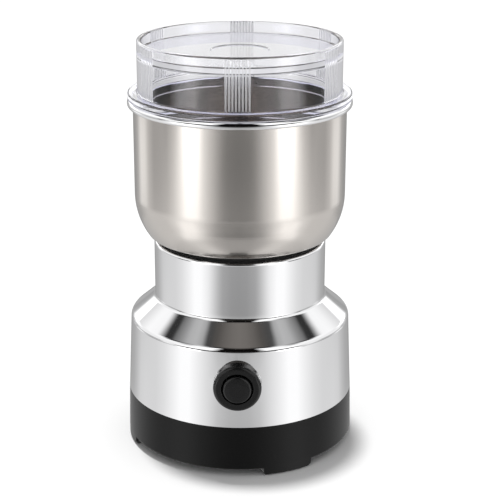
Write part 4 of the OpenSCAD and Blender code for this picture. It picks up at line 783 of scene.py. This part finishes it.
def spring_path(radius, wire, length, turns):
    """Points of a spring along +Z, from height 0 to its length, with closed ends."""
    share = 1 / turns
    ends = wire * 2
    path = []
    for i in range(turns * SPRING_STEPS + 1):
        t = i / (turns * SPRING_STEPS)
        if t < share:
            rise = t / share * ends
        elif t > 1 - share:
            rise = length - 2 * wire - (1 - t) / share * ends
        else:
            rise = ends + (t - share) / (1 - 2 * share) * (length - 2 * wire - 2 * ends)
        turned = 2 * math.pi * t * turns
        path.append((radius * math.cos(turned), radius * math.sin(turned), wire + rise))
    return path


# %% Brush springs and button spring
def in_millimetres(box):
    """The lowest and the highest corner of a box, in millimetres."""
    return [Vector(corner) / MILLIMETRE for corner in box]


SPRING_TURNS = 6
BRUSH_WIRE = 0.25
BRUSH_GAP = 0.1
low, high = in_millimetres(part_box("brush_springs"))
middle = (low.z + high.z) / 2
brush_end = in_millimetres(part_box("carbon_brushes"))[1].x + BRUSH_GAP
one = spring_path((high.y - low.y) / 2 - BRUSH_WIRE, BRUSH_WIRE, high.x - brush_end, SPRING_TURNS)
right = [(brush_end + z, y, middle + x) for x, y, z in one]
left = [(-x, -y, z) for x, y, z in right]
brush_springs = run_tree(
    "wound_brush_springs", wire_tree, path_mesh("brush_spring_paths", [right, left]),
    wire_radius=BRUSH_WIRE * MILLIMETRE, sides=10, material=bpy.data.materials["spring_wire"])
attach(brush_springs, "housing")
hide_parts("brush_springs")

BUTTON_WIRE = 0.3
low, high = in_millimetres(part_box("button_spring"))
one = spring_path((high.x - low.x) / 2 - BUTTON_WIRE, BUTTON_WIRE, high.y - low.y, SPRING_TURNS)
middle = (low.z + high.z) / 2
path = [(x, high.y - z, middle + y) for x, y, z in one]
button_spring = run_tree(
    "wound_button_spring", wire_tree, path_mesh("button_spring_path", [path]),
    wire_radius=BUTTON_WIRE * MILLIMETRE, sides=12, material=bpy.data.materials["spring_wire"])
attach(button_spring, "housing")
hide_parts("button_spring")
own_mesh(button_spring)

# %% [markdown]
# ### Field coils
# Each pole of the motor carries a coil, wound in rounded rectangles from the inside
# out. Only its outer wires show, so the solid coil of the model stays as the core
# and one wire is laid over it: a spiral on the inner side, a row of turns over the
# outside, and a spiral back on the outer side.

# %% The path of one field coil
FIELD_WIRE = 0.53
PROUD = 0.1
COIL_THICK = 7.4
COIL_CORNER = 4.0
LEAST_BEND = 0.3
COIL_IN = 16.4
CORNER_STEPS = 5
low, high = in_millimetres(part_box("field_coils"))
coil_out, coil_half = high.x, high.y
coil_middle, coil_rise = (low.z + high.z) / 2, (high.z - low.z) / 2


def coil_loop(x_start, x_end, depth_start, depth_end):
    """One turn round the pole, while its place along X and its depth below the outside change."""
    loop = []
    corners = [(1, 1), (-1, 1), (-1, -1), (1, -1)]
    for quarter, (side_y, side_z) in enumerate(corners):
        for step in range(CORNER_STEPS):
            t = (quarter + step / CORNER_STEPS) / 4
            depth = depth_start + (depth_end - depth_start) * t
            bend = max(COIL_CORNER - depth * COIL_CORNER / COIL_THICK, LEAST_BEND)
            turned = math.radians(90 * (quarter + step / (CORNER_STEPS - 1)))
            y = side_y * (coil_half - depth - bend) + bend * math.cos(turned)
            z = coil_middle + side_z * (coil_rise - depth - bend) + bend * math.sin(turned)
            loop.append((x_start + (x_end - x_start) * t, y, z))
    return loop


# %% Both field coils
layers = int(COIL_THICK / FIELD_WIRE) - 1
rows = int((coil_out - COIL_IN) / FIELD_WIRE)
first, last = COIL_IN - PROUD + FIELD_WIRE / 2, coil_out + PROUD - FIELD_WIRE / 2
step_x = (last - first) / rows
over_coil = -PROUD + FIELD_WIRE / 2
coil_path = []
for layer in range(layers, 0, -1):
    coil_path += coil_loop(first, first, layer * FIELD_WIRE, (layer - 1) * FIELD_WIRE)
for row in range(rows):
    coil_path += coil_loop(first + row * step_x, first + (row + 1) * step_x, over_coil, over_coil)
for layer in range(layers):
    coil_path += coil_loop(last, last, layer * FIELD_WIRE, (layer + 1) * FIELD_WIRE)
other_coil = [(-x, -y, z) for x, y, z in coil_path]
field_wires = run_tree(
    "field_coil_wires", wire_tree, path_mesh("field_coil_paths", [coil_path, other_coil]),
    wire_radius=FIELD_WIRE / 2 * MILLIMETRE, sides=6, material=bpy.data.materials["enamelled_copper"])
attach(field_wires, "housing")
print(layers, "layers and", rows, "rows of wire")

# %% [markdown]
# ## Screws
# Every screw has a pan head with a cross recess and a rolled thread. The tree gets a
# mesh with one point for each screw. It bends a sphere to the shape of the head, cuts
# the recess, and turns a cylinder to a thread with Set Position. Each screw stops at
# another angle, as a screw does when it is tightened, so a seeded Random Value turns it.

# %% The head of the screw
screw_tree, given = new_tree("pan_head_screw", {
    "Head Radius": 0.003, "Head Height": 0.002, "Shank Radius": 0.0015, "Length": 0.01, "Pitch": 0.0008,
    "Upside Down": 0.0, "Seed": 1, "Material": None})
LEAST_REACH = 0.001
ball = node(screw_tree, "GeometryNodeMeshUVSphere", {"Segments": 32, "Rings": 20, "Radius": 1.0})
position = node(screw_tree, "GeometryNodeInputPosition").outputs[0]
place = split(screw_tree, position)
flat, out = out_from_axis(screw_tree, place)
safe = node(screw_tree, "ShaderNodeMath", {0: out, 1: LEAST_REACH}, operation="MAXIMUM")
root = node(screw_tree, "ShaderNodeMath", {0: safe.outputs[0], 1: -0.5}, operation="POWER")
wide = node(screw_tree, "ShaderNodeMath", {0: root.outputs[0], 1: given["Head Radius"]}, operation="MULTIPLY")
spread = node(screw_tree, "ShaderNodeVectorMath", {0: flat, "Scale": wide.outputs[0]}, operation="SCALE")
up = node(screw_tree, "ShaderNodeMath", {0: place["Z"], 1: 0.0}, operation="MAXIMUM")
dome = node(screw_tree, "ShaderNodeMath", {0: up.outputs[0], 1: 0.5}, operation="POWER")
tall = node(screw_tree, "ShaderNodeMath", {0: dome.outputs[0], 1: given["Head Height"]}, operation="MULTIPLY")
raised = node(screw_tree, "ShaderNodeCombineXYZ", {2: tall.outputs[0]})
placed = node(screw_tree, "ShaderNodeVectorMath", {0: spread.outputs[0], 1: raised.outputs[0]})
head = node(screw_tree, "GeometryNodeSetPosition", {
    "Geometry": ball.outputs[0], "Position": placed.outputs[0]})

# %% The cross recess
# Shares of the head's radius, and of its height
RECESS_LONG, RECESS_WIDE, RECESS_DEEP = 1.15, 0.26, 1.2
arm_long, arm_wide, deep = (
    node(screw_tree, "ShaderNodeMath", {0: given[measure], 1: share}, operation="MULTIPLY")
    for measure, share in (
        ("Head Radius", RECESS_LONG), ("Head Radius", RECESS_WIDE), ("Head Height", RECESS_DEEP)))
lifted = node(screw_tree, "ShaderNodeCombineXYZ", {2: given["Head Height"]})
cut_head = head
for first_side, second_side in ((arm_long, arm_wide), (arm_wide, arm_long)):
    size = node(screw_tree, "ShaderNodeCombineXYZ", {
        0: first_side.outputs[0], 1: second_side.outputs[0], 2: deep.outputs[0]})
    arm = node(screw_tree, "GeometryNodeMeshCube", {"Size": size.outputs[0]})
    cutter = node(screw_tree, "GeometryNodeTransform", {
        "Geometry": arm.outputs[0], "Translation": lifted.outputs[0]})
    cut_head = node(screw_tree, "GeometryNodeMeshBoolean", {
        "Mesh 1": cut_head.outputs[0], "Mesh 2": cutter.outputs[0]}, operation="DIFFERENCE")

# %% The threaded shank
RINGS_PER_PITCH = 4.0
ROOT_SHARE = 0.8
steps = node(screw_tree, "ShaderNodeMath", {0: given["Length"], 1: given["Pitch"]}, operation="DIVIDE")
rings = node(screw_tree, "ShaderNodeMath", {0: steps.outputs[0], 1: RINGS_PER_PITCH}, operation="MULTIPLY")
rod = node(screw_tree, "GeometryNodeMeshCylinder", {
    "Vertices": 16, "Side Segments": rings.outputs[0], "Radius": given["Shank Radius"],
    "Depth": given["Length"]})
half = node(screw_tree, "ShaderNodeMath", {0: given["Length"], 1: -0.5}, operation="MULTIPLY")
sunk = node(screw_tree, "ShaderNodeCombineXYZ", {2: half.outputs[0]})
hung = node(screw_tree, "GeometryNodeTransform", {
    "Geometry": rod.outputs["Mesh"], "Translation": sunk.outputs[0]})
turned = node(screw_tree, "ShaderNodeMath", {0: place["Y"], 1: place["X"]}, operation="ARCTAN2")
of_turn = node(screw_tree, "ShaderNodeMath", {0: turned.outputs[0], 1: 2 * math.pi}, operation="DIVIDE")
pitches = node(screw_tree, "ShaderNodeMath", {0: place["Z"], 1: given["Pitch"]}, operation="DIVIDE")
wound = node(screw_tree, "ShaderNodeMath", {
    0: pitches.outputs[0], 1: of_turn.outputs[0]}, operation="SUBTRACT")
flank = node(screw_tree, "ShaderNodeMath", {0: wound.outputs[0], 1: 0.5}, operation="PINGPONG")
narrow = node(screw_tree, "ShaderNodeMapRange", {
    0: flank.outputs[0], 1: 0.0, 2: 0.5, 3: ROOT_SHARE, 4: 1.0})
scale = node(screw_tree, "ShaderNodeCombineXYZ", {0: narrow.outputs[0], 1: narrow.outputs[0], 2: 1.0})
where = node(screw_tree, "ShaderNodeVectorMath", {0: position, 1: scale.outputs[0]}, operation="MULTIPLY")
shank = node(screw_tree, "GeometryNodeSetPosition", {
    "Geometry": hung.outputs[0], "Position": where.outputs[0]})

# %% A screw on every point
whole = node(screw_tree, "GeometryNodeJoinGeometry")
for part in (shank, cut_head):
    screw_tree.links.new(part.outputs[0], whole.inputs["Geometry"])
over = node(screw_tree, "ShaderNodeMath", {0: given["Upside Down"], 1: math.pi}, operation="MULTIPLY")
any_turn = node(screw_tree, "FunctionNodeRandomValue", {"Seed": given["Seed"], 2: 0.0, 3: math.pi})
facing = node(screw_tree, "ShaderNodeCombineXYZ", {0: over.outputs[0], 2: any_turn.outputs[1]})
driven = node(screw_tree, "GeometryNodeInstanceOnPoints", {
    "Points": given["Geometry"], "Instance": whole.outputs[0], "Rotation": facing.outputs[0]})
end_tree(screw_tree, driven.outputs[0], given["Material"])

# %% [markdown]
# The four base screws go up from the wells in the underside, and the two long bolts go
# up through the stator with their heads below the lower bracket, so these six stand
# upside down. The three in the bowl and the three in the motor's mounts point down.

# %% All the screws
# Angles are from the front in degrees. The reach from the axis, the seat under the head
# and the sizes are in mm. The bolts' place is given across and along the motor.
BOLT_HEAD = 2.4
BOLT_PLACE = (23.7, 19.5)
bolt_angle, bolt_reach = 180 - math.degrees(math.atan2(*BOLT_PLACE)), math.hypot(*BOLT_PLACE)
low, high = in_millimetres(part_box("motor_bolts"))
SCREWS = {
    "base_screws": {
        "finish": "zinc_plated_steel", "slot": "zinc_plated_steel",
        "angles": (58, 125, -125, -58), "reach": 40.5, "seat": 9.95, "upside_down": 1.0,
        "head_radius": 3.4, "head_height": 2.0, "shank_radius": 1.7, "length": 26.0},
    "bowl_screws": {
        "finish": "tumbled_stainless_steel", "slot": "blade_steel",
        "angles": (0, 120, 240), "reach": 20.0, "seat": 94.3, "upside_down": 0.0,
        "head_radius": 3.8, "head_height": 1.6, "shank_radius": 1.9, "length": 10.0},
    "mounting_screws": {
        "finish": "zinc_plated_steel", "slot": "zinc_plated_steel",
        "angles": (60, 180, 300), "reach": 22.0, "seat": 90.9, "upside_down": 0.0,
        "head_radius": 3.2, "head_height": 2.0, "shank_radius": 1.6, "length": 12.9},
    "motor_bolts": {
        "finish": "zinc_plated_steel", "slot": "zinc_plated_steel",
        "angles": (bolt_angle, bolt_angle + 180), "reach": bolt_reach, "seat": low.z + BOLT_HEAD,
        "upside_down": 1.0, "head_radius": 3.06, "head_height": BOLT_HEAD, "shank_radius": 1.8,
        "length": high.z - low.z - BOLT_HEAD},
}
FIRST_SEED = 3


def seats(name, angles, reach, seat_height):
    """A mesh with one point for each screw, under its head."""
    points = []
    for angle in angles:
        turned = math.radians(angle)
        points.append((reach * math.sin(turned), -reach * math.cos(turned), seat_height))
    mesh = bpy.data.meshes.new(name)
    mesh.from_pydata([Vector(point) * MILLIMETRE for point in points], [], [])
    return mesh


for number, (cad_node, facts) in enumerate(SCREWS.items()):
    sizes = {label: facts[label] * MILLIMETRE for label in (
        "head_radius", "head_height", "shank_radius", "length")}
    places = seats(cad_node + "_seats", facts["angles"], facts["reach"], facts["seat"])
    screws = run_tree(
        "driven_" + cad_node, screw_tree, places, pitch=THREAD_PITCH * MILLIMETRE,
        upside_down=facts["upside_down"], seed=number + FIRST_SEED,
        material=bpy.data.materials[facts["finish"]], **sizes)
    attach(screws, "housing")
    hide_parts(cad_node)
